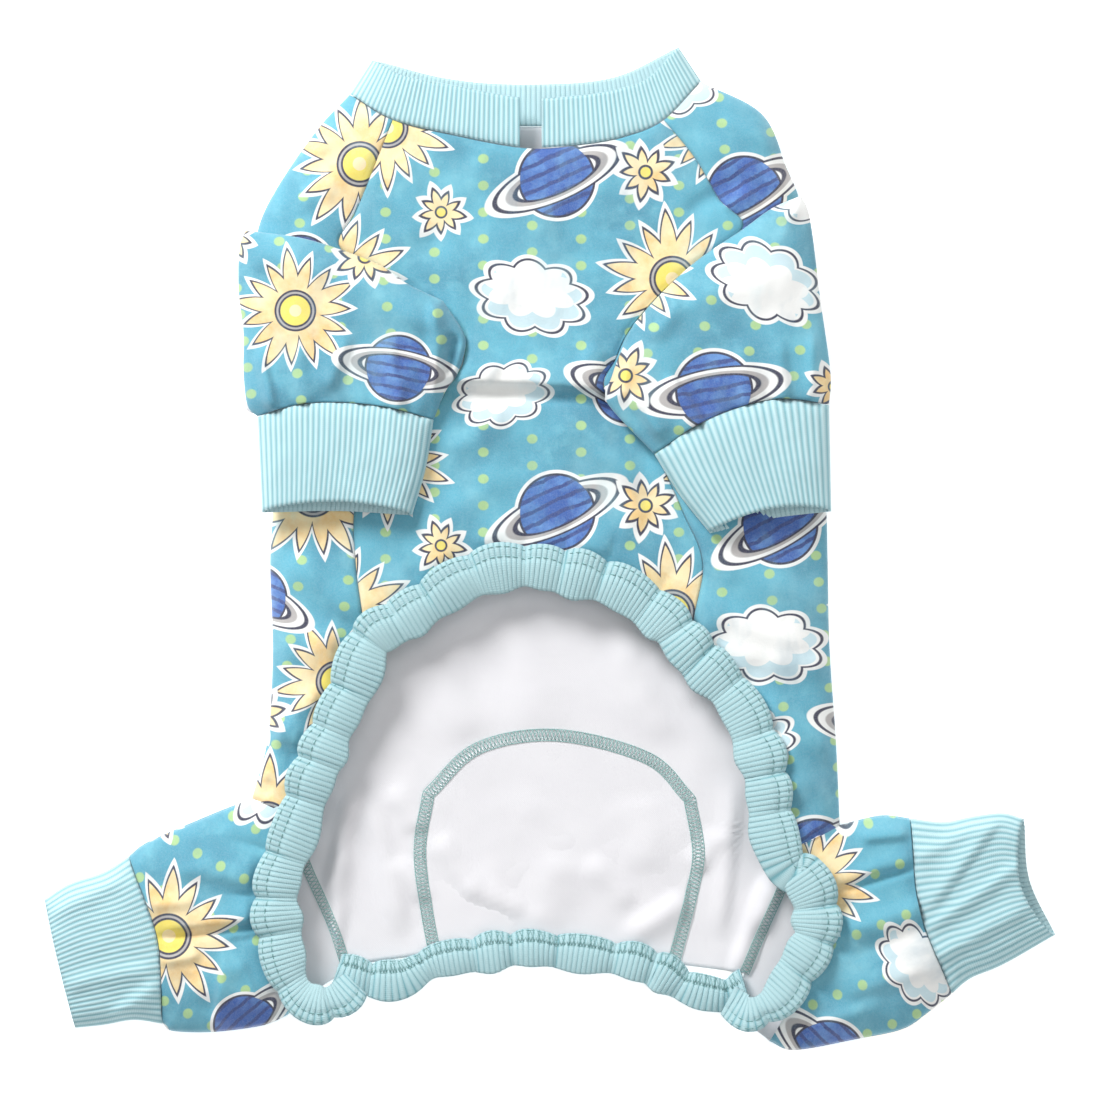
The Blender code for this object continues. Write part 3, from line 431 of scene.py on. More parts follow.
def folded(points, folds):
    """The height that a table of folds adds at places in plan."""
    height = np.zeros(points.shape[:-1])
    for start, end, half_mm, high_mm, lean in folds:
        a, b = from_photo(start), from_photo(end)
        way = b - a
        length = np.linalg.norm(way)
        way = way / length
        rel = points - a
        along = (rel @ way) / length
        aside = (rel @ np.array([-way[1], way[0]])) * 1000 / half_mm
        steep_side = aside * np.sign(lean) > 0
        steep = np.where(steep_side, 1 - 0.75 * abs(lean), 1 + 0.5 * abs(lean))
        ends = ease((along + 0.12) / 0.30) * ease((1.12 - along) / 0.30)
        height += FOLD_GAIN * high_mm / 1000 * ends * np.exp(-(aside / steep) ** 2)
    return height


def rumpled(points, size, height, seed):
    """Soft uneven rumples of the given size."""
    flat = points.reshape(-1, 2)
    out = [noise.fractal(Vector((x / size, y / size, seed)), 0.6, 2.1, 3) for x, y in flat]
    return np.array(out).reshape(points.shape[:-1]) * height


# Lines that several pieces share

ROW_STEPS = 8
neck_columns = (NECK_EDGE_LEFT, NECK_SEAM_LEFT, NECK_SEAM_RIGHT, NECK_EDGE_RIGHT)
edge_left, seam_left, seam_right, edge_right = (
    catmull(np.vstack([on_neck([top]), on_body([row[k] for row in TORSO_ROWS])]), ROW_STEPS)
    for k, top in enumerate(neck_columns))
HIP_LEFT, HIP_RIGHT = edge_left[-1], edge_right[-1]
NECK_STEPS = 12
neck_front = catmull(on_neck([NECK_EDGE_LEFT, NECK_SEAM_LEFT] + NECK_FRONT
                             + [NECK_SEAM_RIGHT, NECK_EDGE_RIGHT]), NECK_STEPS)
neck_back = catmull(on_neck([NECK_EDGE_LEFT] + NECK_BACK + [NECK_EDGE_RIGHT]), NECK_STEPS)
arch_line = np.vstack([seam_left[BELLY_ROWS * ROW_STEPS][None], on_body(OPENING_ARCH),
                       seam_right[BELLY_ROWS * ROW_STEPS][None]])


def leg_seam(hip, places):
    """The seam between the back and a leg, from the hip to the rump."""
    return catmull(np.vstack([hip[None], on_body(places)]), ROW_STEPS)


leg_left, leg_right = leg_seam(HIP_LEFT, LEG_SEAM_LEFT), leg_seam(HIP_RIGHT, LEG_SEAM_RIGHT)


def seam_line(centre, tilt, width):
    turn = math.radians(tilt)
    half = np.array([math.cos(turn), math.sin(turn)]) * width / 2
    return centre - half, centre + half


def leg_places(side):
    leg = LEGS[side]
    hip, hem_edge = (HIP_LEFT, LEG_EDGE_LEFT) if side == "left" else (HIP_RIGHT, LEG_EDGE_RIGHT)
    centre = on_body(leg["anchor"]) + np.array(leg["reach"]) * LEG_LENGTH
    top, bottom = seam_line(centre, leg["tilt"], leg["width"] * LEG_WIDTH)
    hem_centre = centre + np.array(leg["cuff_reach"]) * HIND_CUFF_LENGTH
    hem_top, hem_bottom = seam_line(hem_centre, leg["cuff_tilt"], leg["cuff_width"] * HIND_CUFF_WIDTH)
    heel = on_body(hem_edge[-1])
    sign = 1 if side == "left" else -1
    return {
        "hip": hip, "heel": heel,
        "upper": beside(hip, top, [(a, b * sign) for a, b in leg["upper"]]),
        "lower": beside(heel, bottom, [(a, b * sign) for a, b in leg["lower"]]),
        "seam": beside(top, bottom, [(0.5, -leg["bow"])]),
        "cuff_upper": beside(top, hem_top, leg["cuff_upper"]),
        "cuff_lower": beside(bottom, hem_bottom, leg["cuff_lower"]),
        "hem": beside(hem_top, hem_bottom, [(0.5, -leg["cuff_bow"])]),
    }


def sleeve_places(side):
    sleeve = SLEEVES[side]
    fold, seam = on_body(sleeve["fold"]), on_body(sleeve["seam"])
    centre = on_body(sleeve["anchor"]) + np.array(sleeve["reach"]) * SLEEVE_LENGTH
    ends = seam_line(centre, sleeve["tilt"], sleeve["width"] * SLEEVE_WIDTH)
    hem_centre = centre + np.array(sleeve["cuff_reach"]) * FRONT_CUFF_LENGTH
    hems = seam_line(hem_centre, sleeve["cuff_tilt"], sleeve["cuff_width"] * FRONT_CUFF_WIDTH)
    outside, inside = (0, 1) if side == "left" else (1, 0)
    sign = 1 if side == "left" else -1
    out_corner, in_corner = ends[outside], ends[inside]
    bow = sleeve["bow"] * sign
    return {
        "fold": fold,
        "outer": beside(fold[0], out_corner, [(a, -b * sign) for a, b in sleeve["outer"]]),
        "inner": np.vstack([seam, in_corner[None]]),
        "cuff_seam": beside(out_corner, in_corner, [(0.25, bow * 0.85), (0.5, bow), (0.75, bow * 0.7)]),
        "cuff_outer": beside(out_corner, hems[outside], [(0.5, 0.0)]),
        "cuff_inner": beside(in_corner, hems[inside], [(0.5, 0.03 * sign)]),
        "hem": beside(hems[outside], hems[inside], [(0.5, sleeve["cuff_bow"] * sign)]),
    }


def collar_top(places, share, middle_rise):
    lean = -COLLAR_CORNER_LEAN * share * abs(share)
    rise = middle_rise + (COLLAR_CORNER_RISE - middle_rise) * abs(share) ** 3
    return places + np.stack([lean, rise], -1) * COLLAR_HEIGHT


LEG_PLACES = {side: leg_places(side) for side in LEGS}
SLEEVE_PLACES = {side: sleeve_places(side) for side in SLEEVES}
corner_left = collar_top(neck_front[:1], np.array([-1.0]), 1.0)
corner_right = collar_top(neck_front[-1:], np.array([1.0]), 1.0)
FOLD_STEPS = 48
BODY_EDGES = [np.vstack([corner_left, edge_left]), np.vstack([corner_right, edge_right])]
for place in LEG_PLACES.values():
    BODY_EDGES += [at_shares(place[name], even(FOLD_STEPS))
                   for name in ("upper", "lower", "cuff_upper", "cuff_lower")]


def trim_line():
    last = BELLY_ROWS * ROW_STEPS
    return np.vstack([on_body(TRIM_END_LEFT), on_body(LEG_EDGE_LEFT[1::-1]), seam_left[:last - 1:-ROW_STEPS],
                      on_body(OPENING_ARCH), seam_right[last::ROW_STEPS], on_body(TRIM_END_RIGHT[::-1])])


TRIM_LINE = trim_line()
TRIM_PATH = at_shares(TRIM_LINE, even(220))


def puff_phase(reach):
    """Where along its gathers the trim is, in turns; the gathers are uneven."""
    turns = reach / PUFF_PITCH
    return turns + 0.16 * np.sin(turns * 1.7) + 0.10 * np.sin(turns * 0.63 + 1.0)


def puffed(turns):
    """The gathers' outline: round tops with sharp valleys between them."""
    return np.sin(math.pi * (turns % 1.0) ** 0.85) ** 0.62


SEAM_ROWS = len(TORSO_ROWS) * ROW_STEPS
BODY_SEAMS = [seam_left[:SEAM_ROWS], seam_right[:SEAM_ROWS], neck_front, neck_back]
for place in LEG_PLACES.values():
    BODY_SEAMS.append(at_shares(place["seam"], even(FOLD_STEPS)))
SLEEVE_SEAMS = [at_shares(place["cuff_seam"], even(FOLD_STEPS)) for place in SLEEVE_PLACES.values()]


def seam_dip(points, seams, depth=0.0010, reach=0.0022):
    return -depth * np.exp(-(distance(points, seams) / reach) ** 2)


def body_relief(points, folds):
    """Folds, rumples, seam grooves and the puckers beside the trim. Under the trim the cloth lies flat."""
    away, along = along_line(points, TRIM_PATH)
    pucker = np.exp(-((away - TRIM_LAP - 0.004) / PUCKER_REACH) ** 2)
    wave = puffed(puff_phase(along))
    height = folded(points, folds) + rumpled(points, 0.045, 0.0014, 3.0)
    height = height + rumpled(points, 0.012, 0.0003, 9.0)
    height = height + PUCKER_HEIGHT * pucker * (wave - 0.6) + seam_dip(points, BODY_SEAMS)
    return np.where(height > 0, height * ease((away - 0.003) / 0.007), height)


def raised(points, edges, base, height, relief):
    """The upper layer: it climbs from the folded edges, and its relief fades out towards them."""
    away = distance(points, edges)
    climb = FOLD_LIFT + (height - FOLD_LIFT) * dome(away / FOLD_ROUND)
    return np.dstack([points, base + climb + relief * ease(away / 0.007)])


def lowered(points, edges, base, relief=0.0):
    away = distance(points, edges)
    turn_up = FOLD_LIFT * (1 - dome(away / UNDER_ROUND))
    return np.dstack([points, base + turn_up + relief * ease(away / 0.012)])


# Meshes

WELD = 0.00002


def turned(uv, degrees, offset):
    turn = math.radians(degrees)
    rows = np.array([[math.cos(turn), math.sin(turn)], [-math.sin(turn), math.cos(turn)]])
    return uv @ rows + np.asarray(offset)


def add_piece(name, verts, faces, uvs, materials):
    """A new object; uvs has one place on the map for each vertex."""
    mesh = bpy.data.meshes.new(name)
    mesh.from_pydata(verts, [], faces)
    layer = mesh.uv_layers.new(name="UVMap")
    loops = np.zeros(len(mesh.loops), int)
    mesh.loops.foreach_get("vertex_index", loops)
    layer.data.foreach_set("uv", uvs[loops].ravel())
    for material in materials:
        mesh.materials.append(material)
    piece = bpy.data.objects.new(name, mesh)
    bpy.context.scene.collection.objects.link(piece)
    return piece


def cloth(name, patches, wall, materials, offset=-1.0):
    """One cloth piece from grids that meet at folded edges. Each patch is (places, faces_up, uv)."""
    verts, faces, uvs = [], [], []
    for places, faces_up, uv in patches:
        rows, columns = places.shape[:2]
        index = np.arange(rows * columns).reshape(rows, columns) + len(verts)
        middle_row, middle = rows // 2, columns // 2
        down = places[middle_row, middle] - places[middle_row - 1, middle]
        right = places[middle_row, middle] - places[middle_row, middle - 1]
        quads = np.stack([index[:-1, :-1], index[1:, :-1], index[1:, 1:], index[:-1, 1:]], -1).reshape(-1, 4)
        if (np.cross(down, right)[2] > 0) != faces_up:
            quads = quads[:, ::-1]
        flat = places.reshape(-1, 3).copy()
        flat[:, :2] += SHIFT
        verts += flat.tolist()
        uvs += uv.reshape(-1, 2).tolist()
        faces += quads.tolist()
    piece = add_piece(name, verts, faces, np.array(uvs), materials)
    shape = bmesh.new()
    shape.from_mesh(piece.data)
    bmesh.ops.remove_doubles(shape, verts=shape.verts, dist=WELD)
    shape.to_mesh(piece.data)
    shape.free()
    piece.data.shade_smooth()
    skin = piece.modifiers.new("wall", "SOLIDIFY")
    skin.thickness = wall
    skin.offset = offset
    skin.material_offset = len(materials) - 1
    skin.material_offset_rim = len(materials) - 1
    return piece


def dress(piece, node):
    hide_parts(node)
    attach(piece, "root")
    return piece


# Node graphs


class Graph:
    """Short calls that add shader nodes and join them."""

    def __init__(self, tree):
        self.tree = tree

    def put(self, socket, value):
        if isinstance(value, bpy.types.NodeSocket):
            self.tree.links.new(value, socket)
        elif value is not None:
            socket.default_value = value

    def math(self, operation, a, b=None, c=None):
        node = self.tree.nodes.new("ShaderNodeMath")
        node.operation = operation
        for socket, value in zip(node.inputs, (a, b, c)):
            self.put(socket, value)
        return node.outputs[0]

    def vector(self, operation, a, b=None, c=None):
        node = self.tree.nodes.new("ShaderNodeVectorMath")
        node.operation = operation
        for socket, value in zip(node.inputs, (a, b, c)):
            self.put(socket, value)
        return node.outputs["Value" if operation == "LENGTH" else 0]

    def split(self, vector):
        node = self.tree.nodes.new("ShaderNodeSeparateXYZ")
        self.put(node.inputs[0], vector)
        return node.outputs[0], node.outputs[1]

    def join(self, x, y, z=0.0):
        node = self.tree.nodes.new("ShaderNodeCombineXYZ")
        for socket, value in zip(node.inputs, (x, y, z)):
            self.put(socket, value)
        return node.outputs[0]

    def mix(self, factor, under, over):
        node = self.tree.nodes.new("ShaderNodeMix")
        node.data_type = "RGBA"
        self.put(node.inputs["Factor"], factor)
        self.put(node.inputs[6], under)
        self.put(node.inputs[7], over)
        return node.outputs[2]

    def ramp(self, value, start, end):
        """0 up to the start and 1 from the end on."""
        node = self.tree.nodes.new("ShaderNodeMapRange")
        self.put(node.inputs["Value"], value)
        node.inputs["From Min"].default_value = start
        node.inputs["From Max"].default_value = end
        return node.outputs[0]

    def within(self, value, edge, soft=0.00016):
        """1 where the value is below the edge, else 0, with a narrow soft border."""
        return self.ramp(value, edge + soft, edge - soft)

    def noise(self, vector, scale, detail=2.0, roughness=0.5):
        node = self.tree.nodes.new("ShaderNodeTexNoise")
        self.put(node.inputs["Vector"], vector)
        node.inputs["Scale"].default_value = scale
        node.inputs["Detail"].default_value = detail
        node.inputs["Roughness"].default_value = roughness
        return node.outputs["Fac"]

    def place(self):
        node = self.tree.nodes.new("ShaderNodeUVMap")
        node.uv_map = "UVMap"
        return node.outputs[0]

    def bump(self, height, strength, reach, normal=None):
        node = self.tree.nodes.new("ShaderNodeBump")
        node.inputs["Strength"].default_value = strength
        node.inputs["Distance"].default_value = reach
        self.put(node.inputs["Height"], height)
        self.put(node.inputs["Normal"], normal)
        return node.outputs[0]


def surface(name, roughness, sheen):
    made = bpy.data.materials.new(name)
    made.use_nodes = True
    shader = made.node_tree.nodes["Principled BSDF"]
    shader.inputs["Roughness"].default_value = roughness
    shader.inputs["Sheen Weight"].default_value = sheen
    shader.inputs["Sheen Roughness"].default_value = 0.5
    shader.inputs["Specular IOR Level"].default_value = 0.25
    return made, Graph(made.node_tree), shader


# The print: one square repeat, in metres. Each motif has its place in the repeat and its turn in degrees.
REPEAT = 0.150
DOT_COLUMN, DOT_ROW, DOT_RADIUS = 0.022, 0.012, 0.0024
MOTIFS = [
    ("cloud", (0.033, 0.022), 10, 1.15),
    ("sun", (0.096, 0.030), -12, 1.00),
    ("planet", (0.044, 0.075), -24, 1.00),
    ("sun", (0.118, 0.098), 30, 0.90),
    ("cloud", (0.020, 0.128), -14, 0.95),
    ("planet", (0.076, 0.130), 18, 0.86),
    ("spark", (0.084, 0.078), 0, 1.05),
    ("spark", (0.142, 0.060), 30, 0.90),
]
HALO = 0.0026
OUTLINE = 0.0010


def polar(g, p):
    x, y = g.split(p)
    return g.vector("LENGTH", p), g.math("ARCTAN2", y, x)


def spiked(g, p, inner, spikes, depth):
    """How far a place lies outside a burst with pointed rays of two lengths."""
    r, angle = polar(g, p)
    fine = g.math("PINGPONG", g.math("MULTIPLY", angle, spikes / (2 * math.pi)), 0.5)
    slow = g.math("PINGPONG", g.math("MULTIPLY_ADD", angle, spikes / (6 * math.pi), 0.35), 0.5)
    rays = g.math("MULTIPLY_ADD", fine, depth * 1.5, g.math("MULTIPLY_ADD", slow, depth * 0.9, inner))
    return g.math("MULTIPLY", g.math("SUBTRACT", r, rays), 0.5)


def layers(g, colour, value, steps):
    """Paints nested rings: each step is (edge, colour), from the outermost."""
    for edge, paint in steps:
        colour = g.mix(g.within(value, edge), colour, paint)
    return colour


def draw_sun(g, p, colour, paint):
    burst = spiked(g, p, 0.0118, 15, 0.0155)
    colour = layers(g, colour, burst, [(HALO, PAPER), (OUTLINE, NAVY), (0.0, paint["cream"])])
    r = g.vector("LENGTH", p)
    return layers(g, colour, r, [(0.0094 + OUTLINE, NAVY), (0.0094, GREY), (0.0074 + OUTLINE, NAVY),
                                 (0.0074, YELLOW), (0.0030, CREAM)])


def draw_spark(g, p, colour, paint):
    burst = spiked(g, p, 0.0036, 9, 0.0066)
    colour = layers(g, colour, burst, [(HALO, PAPER), (OUTLINE, NAVY), (0.0, paint["cream"])])
    return layers(g, colour, g.vector("LENGTH", p), [(0.0022 + OUTLINE, NAVY), (0.0022, YELLOW)])


def scalloped(g, p, radius):
    """How far a place lies outside an ellipse with a scalloped edge."""
    r, angle = polar(g, g.vector("MULTIPLY", p, (0.72, 1.12, 1.0)))
    bumps = g.math("ABSOLUTE", g.math("SINE", g.math("MULTIPLY", angle, 4.5)))
    return g.math("SUBTRACT", r, g.math("MULTIPLY_ADD", bumps, 0.0030, radius))


def draw_cloud(g, p, colour, paint):
    """A plain cloud with a pale shade along its lower side."""
    out = scalloped(g, p, 0.0125)
    colour = layers(g, colour, out, [(HALO, PAPER), (OUTLINE, NAVY), (0.0, PAPER)])
    bright = scalloped(g, g.vector("ADD", p, (0.0015, -0.0035, 0.0)), 0.0105)
    both = g.math("MAXIMUM", g.math("ADD", out, 0.0010), g.math("MULTIPLY", bright, -1.0))
    return g.mix(g.within(both, 0.0), colour, CLOUD_SHADE)


def draw_planet(g, p, colour, paint):
    """A banded planet with a flat ring round it."""
    x, y = g.split(p)
    ball = g.math("SUBTRACT", g.vector("LENGTH", p), 0.0165)
    wide = g.vector("LENGTH", g.vector("MULTIPLY", p, (1.0, 3.1, 0.0)))
    rim = g.math("MULTIPLY", g.math("SUBTRACT", wide, 0.0290), 0.42)
    gap = g.math("MULTIPLY", g.math("SUBTRACT", 0.0215, wide), 0.42)
    ring = g.math("MAXIMUM", rim, gap)
    colour = layers(g, colour, g.math("MINIMUM", ball, ring), [(HALO, PAPER), (OUTLINE, NAVY)])
    bands = g.math("SINE", g.math("MULTIPLY_ADD", y, 1150.0, g.math("MULTIPLY", paint["mottle"], 5.0)))
    blue = g.mix(g.ramp(bands, 0.35, 0.75), paint["royal"], ROYAL_DEEP)
    colour = layers(g, colour, ball, [(OUTLINE, NAVY), (0.0, blue)])
    behind = g.math("MULTIPLY", g.within(g.math("MULTIPLY", y, -1.0), 0.0), g.within(ball, 0.0))
    shown = g.math("SUBTRACT", 1.0, behind)
    colour = g.mix(g.math("MULTIPLY", g.within(ring, OUTLINE), shown), colour, NAVY)
    grey = g.mix(g.ramp(wide, 0.0245, 0.0255), GREY, PAPER)
    return g.mix(g.math("MULTIPLY", g.within(ring, 0.0), shown), colour, grey)


DRAW = {"sun": draw_sun, "spark": draw_spark, "cloud": draw_cloud, "planet": draw_planet}


def make_print():
    made, g, shader = surface("printed_cloth", 0.86, 0.35)
    uv = g.place()
    mottle = g.noise(uv, 70.0, 4.0, 0.62)
    paint = {
        "mottle": mottle,
        "royal": g.mix(g.ramp(mottle, 0.46, 0.66), ROYAL, ROYAL_LIGHT),
        "cream": g.mix(g.ramp(mottle, 0.42, 0.64), CREAM, CREAM_DEEP),
    }
    cloudy = g.noise(uv, 26.0, 3.0)
    ground = g.mix(g.ramp(cloudy, 0.40, 0.64), AQUA, AQUA_DEEP)
    ground = g.mix(g.math("MULTIPLY", g.ramp(mottle, 0.50, 0.70), 0.55), ground, AQUA_LIGHT)
    x, y = g.split(uv)
    column = g.math("FLOOR", g.math("DIVIDE", x, DOT_COLUMN))
    odd = g.math("FLOORED_MODULO", column, 2.0)
    dot_x = g.math("SUBTRACT", g.math("FLOORED_MODULO", x, DOT_COLUMN), DOT_COLUMN / 2)
    low = g.math("FLOORED_MODULO", g.math("MULTIPLY_ADD", odd, DOT_ROW / 2, y), DOT_ROW)
    dot_y = g.math("SUBTRACT", low, DOT_ROW / 2)
    away = g.vector("LENGTH", g.join(dot_x, g.math("MULTIPLY", dot_y, 1.12)))
    colour = g.mix(g.within(away, DOT_RADIUS, 0.0003), ground, DOT)
    for kind, centre, degrees, size in MOTIFS:
        half = REPEAT / 2
        near = g.vector("WRAP", g.vector("SUBTRACT", uv, (centre[0], centre[1], 0.0)), (half, half, 1.0),
                        (-half, -half, -1.0))
        turn = g.tree.nodes.new("ShaderNodeVectorRotate")
        turn.rotation_type = "Z_AXIS"
        turn.inputs["Angle"].default_value = math.radians(degrees)
        g.put(turn.inputs["Vector"], near)
        place = g.vector("MULTIPLY", turn.outputs[0], (1 / size, 1 / size, 0.0))
        colour = DRAW[kind](g, place, colour, paint)
    # Painted sheen and painted shade: streaky patches lighter and darker, as light falls on the velour's
    # pile.
    sheen_and_shade_patches = g.noise(g.vector("MULTIPLY", uv, (1.0, 0.5, 1.0)), 34.0, 4.0, 0.62)
    colour = g.mix(g.math("MULTIPLY", g.ramp(sheen_and_shade_patches, 0.52, 0.72), 0.30), colour, SHEEN)
    colour = g.mix(g.math("MULTIPLY", g.ramp(sheen_and_shade_patches, 0.46, 0.28), 0.34), colour, SHADE)
    # Fine pale flecks: where two fine noises meet, the colour is lifted towards white.
    nap = g.noise(uv, 900.0, 3.0, 0.65)
    fine_fleck = g.noise(uv, 2200.0, 1.0)
    pale = g.math("MULTIPLY", g.math("MULTIPLY", nap, fine_fleck), 0.30)
    g.put(shader.inputs["Base Color"], g.mix(pale, colour, PAPER))
    g.put(shader.inputs["Normal"], g.bump(nap, 0.35, 0.0004))
    return made


def make_rib(name, groove_shade, crown_light):
    """Rib knit: one unit of u for each rib, and v in rib pitches along it."""
    made, g, shader = surface(name, 0.88, 0.30)
    uv = g.place()
    u, v = g.split(uv)
    wave = g.math("COSINE", g.math("MULTIPLY", u, 2 * math.pi))
    ridge = g.math("MULTIPLY_ADD", wave, 0.5, 0.5)
    stitch = g.math("SINE", g.math("MULTIPLY_ADD", v, 2 * math.pi * 2.6,
                                   g.math("MULTIPLY", g.math("ABSOLUTE", wave), 2.2)))
    speckle = g.noise(g.vector("MULTIPLY", uv, (6.0, 9.0, 1.0)), 1.0, 3.0, 0.6)
    # Painted shade in the grooves between ribs and painted light on their crowns, varied by a random speckle
    shade = g.math("MULTIPLY", g.math("POWER", ridge, 0.7), g.math("MULTIPLY_ADD", speckle, 0.5, 0.75))
    g.put(shader.inputs["Base Color"], g.mix(shade, groove_shade, crown_light))
    height = g.math("ADD", g.math("MULTIPLY", stitch, 0.5), g.math("MULTIPLY", speckle, 0.8))
    g.put(shader.inputs["Normal"], g.bump(height, 0.45, 0.00022))
    return made


def make_inside():
    """The white inside: fine wales with a soft uneven tone."""
    made, g, shader = surface("white_inside", 0.92, 0.15)
    uv = g.place()
    x, y = g.split(uv)
    wale = g.math("SINE", g.math("MULTIPLY", x, 2 * math.pi / 0.0009))
    row = g.math("SINE", g.math("MULTIPLY", y, 2 * math.pi / 0.0008))
    tone = g.noise(uv, 45.0, 3.0)
    g.put(shader.inputs["Base Color"], g.mix(g.math("MULTIPLY", tone, 0.55), INSIDE, INSIDE_SHADE))
    g.put(shader.inputs["Normal"], g.bump(g.math("MULTIPLY", wale, row), 0.18, 0.00012))
    return made


def make_thread(name, colour):
    made, g, shader = surface(name, 0.70, 0.20)
    twist = g.noise(g.place(), 1400.0, 2.0)
    g.put(shader.inputs["Base Color"], g.mix(g.math("MULTIPLY", twist, 0.35), colour, PAPER))
    return made


PRINT, LINING = make_print(), make_inside()
RIB = make_rib("rib_knit", RIB_GROOVE_SHADE, RIB_CROWN_LIGHT)
EDGE_RIB = make_rib("edge_rib_knit", EDGE_GROOVE_SHADE, EDGE_CROWN_LIGHT)
OVERLOCK_THREAD = make_thread("overlock_thread", THREAD)
STITCH_THREAD = make_thread("stitch_thread", THREAD_DARK)


# Body pieces

WRAP_COLUMNS = 30
BACK_COLUMNS = 90
BELLY_COLUMNS = 110


def wrap_patch(edge, seam, neck, uv_turn, uv_offset):
    shares = crowded_first(WRAP_COLUMNS)
    rows = even(len(edge) - 1)
    hip = at_shares(np.array([edge[-1], seam[-1]]), shares)
    grid = loft(at_shares(neck, shares), hip, edge, seam, shares, rows)
    grid[:, -1] += (grid[:, -2] - grid[:, -1]) * 0.06
    places = raised(grid, BODY_EDGES, 0.0, BODY_HEIGHT, body_relief(grid, BODY_FOLDS))
    return places, True, turned(grid, uv_turn, uv_offset)


def inside_relief(points):
    return np.clip(folded(points, INSIDE_FOLDS) + rumpled(points, 0.05, 0.0011, 5.0), 0.0, None)


def rump_relief(points):
    return np.clip(folded(points, RUMP_FOLDS) + rumpled(points, 0.04, 0.0010, 6.0), 0.0, None) + 0.0002


def make_back():
    shares = crowded(BACK_COLUMNS)
    hip = at_shares(np.array([HIP_LEFT, HIP_RIGHT]), shares)
    rump = at_shares(np.vstack([leg_left[-1:], on_body(RUMP_EDGE), leg_right[-1:]]), shares)
    neck = at_shares(neck_back, shares)
    upper_part = loft(neck, hip, edge_left, edge_right, shares, even(len(edge_left) - 1))
    lower_part = loft(hip, rump, leg_left, leg_right, shares, even(len(leg_left) - 1))
    grid = np.vstack([upper_part, lower_part[1:]])
    away = distance(grid, [edge_left, edge_right])
    rise = FOLD_LIFT * (1 - dome(away / UNDER_ROUND))
    rise[len(upper_part):] = 0.0
    under = np.dstack([grid, rise + inside_relief(grid) * ease(away / 0.012)])
    patches = [(under, False, turned(grid, 0, (0.30, 0.42)))]
    patches.append(wrap_patch(edge_left, seam_left, neck_front[:NECK_STEPS + 1], 8, (0.055, 0.020)))
    patches.append(wrap_patch(edge_right, seam_right, neck_front[:-NECK_STEPS - 2:-1], -6, (0.090, 0.075)))
    piece = cloth("back_cloth", patches, PRINT_WALL, [PRINT, LINING])
    return dress(piece, "back_panel")


def insert_sides():
    left = at_shares(on_body(INSERT_LEFT), even(30))
    right = at_shares(on_body(INSERT_RIGHT), even(30))
    top = at_shares(np.vstack([left[:1], on_body(INSERT_TOP), right[:1]]), even(40))
    return left, top, right


def make_rump():
    left, top, right = insert_sides()
    last = at_shares(np.vstack([left[-1:], on_body(RUMP_EDGE[1:2]), right[-1:]]), even(40))
    grid = loft(top, last, left, right, even(40), even(30))
    middle = grid.mean(axis=(0, 1))
    grid = middle + (grid - middle) * 0.985
    places = np.dstack([grid, rump_relief(grid)])
    piece = cloth("rump_cloth", [(places, False, turned(grid, 4, (0.1, 0.2)))], PRINT_WALL, [PRINT, LINING])
    return dress(piece, "rump_panel")


def make_belly():
    last = BELLY_ROWS * ROW_STEPS
    rows = np.arange(2 * last + 1) / 2
    left, right = (np.stack([np.interp(rows, np.arange(last + 1), line[:last + 1, k]) for k in (0, 1)], -1)
                   for line in (seam_left, seam_right))
    first = at_shares(neck_front[NECK_STEPS:-NECK_STEPS], even(BELLY_COLUMNS))
    arch = at_shares(arch_line, even(BELLY_COLUMNS))
    grid = loft(first, arch, left, right, even(BELLY_COLUMNS), even(2 * last), fade=3)
    places = raised(grid, BODY_EDGES, 0.0, BODY_HEIGHT, body_relief(grid, BODY_FOLDS))
    patches = [(places, True, turned(grid, 0, (0.041, 0.058)))]
    piece = cloth("belly_cloth", patches, PRINT_WALL, [PRINT, LINING])
    return dress(piece, "belly_panel")


def rib_uv(across, along):
    """Rib counts for every place of a grid, from how far its columns and rows lie."""
    return np.stack(np.broadcast_arrays(across, along), -1)


def ribbed(places, uv, fade=1.0):
    """Adds the ribs' relief, from the uv's first value: one rib for each unit."""
    places = places.copy()
    places[..., 2] += RIB_RELIEF * (np.cos(2 * math.pi * uv[..., 0]) * 0.5 + 0.5) * fade
    return places


def make_collar():
    middle = (neck_front[0, 0] + neck_front[-1, 0]) / 2
    half_width = (neck_front[-1, 0] - neck_front[0, 0]) / 2
    rows = even(14)
    front_length, back_length = reach_of(neck_front)[-1], reach_of(neck_back)[-1]
    half_share = COLLAR_SPLIT / 2 / front_length

    def strip(line, shares, middle_rise, length, upper_layer):
        seam = at_shares(line, shares)
        tops = collar_top(seam, (seam[:, 0] - middle) / half_width, middle_rise)
        grid = seam[None] * (1 - rows[:, None, None]) + tops[None] * rows[:, None, None]
        grid = grid + (tops - seam)[None] * (0.02 * (1 - rows))[:, None, None]
        uv = rib_uv((shares * length / RIB_PITCH)[None], (rows * 9)[:, None])
        fade = ease(distance(grid, BODY_EDGES) / 0.004)
        if upper_layer:
            places = raised(grid, BODY_EDGES, 0.0, BODY_HEIGHT, seam_dip(grid, [neck_front])
                            + rumpled(grid, 0.03, 0.0006, 2.0))
        else:
            places = lowered(grid, BODY_EDGES, 0.0)
        return ribbed(places, uv, fade), upper_layer, uv

    count = round(front_length / RIB_PITCH) * RIB_STEPS
    left_shares = even(count // 2) * (0.5 - half_share)
    patches = [strip(neck_back, even(count), COLLAR_BACK_RISE, back_length, False),
               strip(neck_front, left_shares, 1.0, front_length, True),
               strip(neck_front, 1 - left_shares[::-1], 1.0, front_length, True)]
    return dress(cloth("collar_rib", patches, RIB_WALL, [RIB]), "collar")


# Sleeves and legs

CUFF_SHORT = 0.0038
HIND_CUFF_SHORT = {"left": 0.0008, "right": 0.0045}
SLEEVE_TURNS = {"left": (172, (0.020, 0.070)), "right": (194, (0.098, 0.012))}
LEG_TURNS = {"left": (-62, (0.030, 0.110)), "right": (68, (0.085, 0.045))}


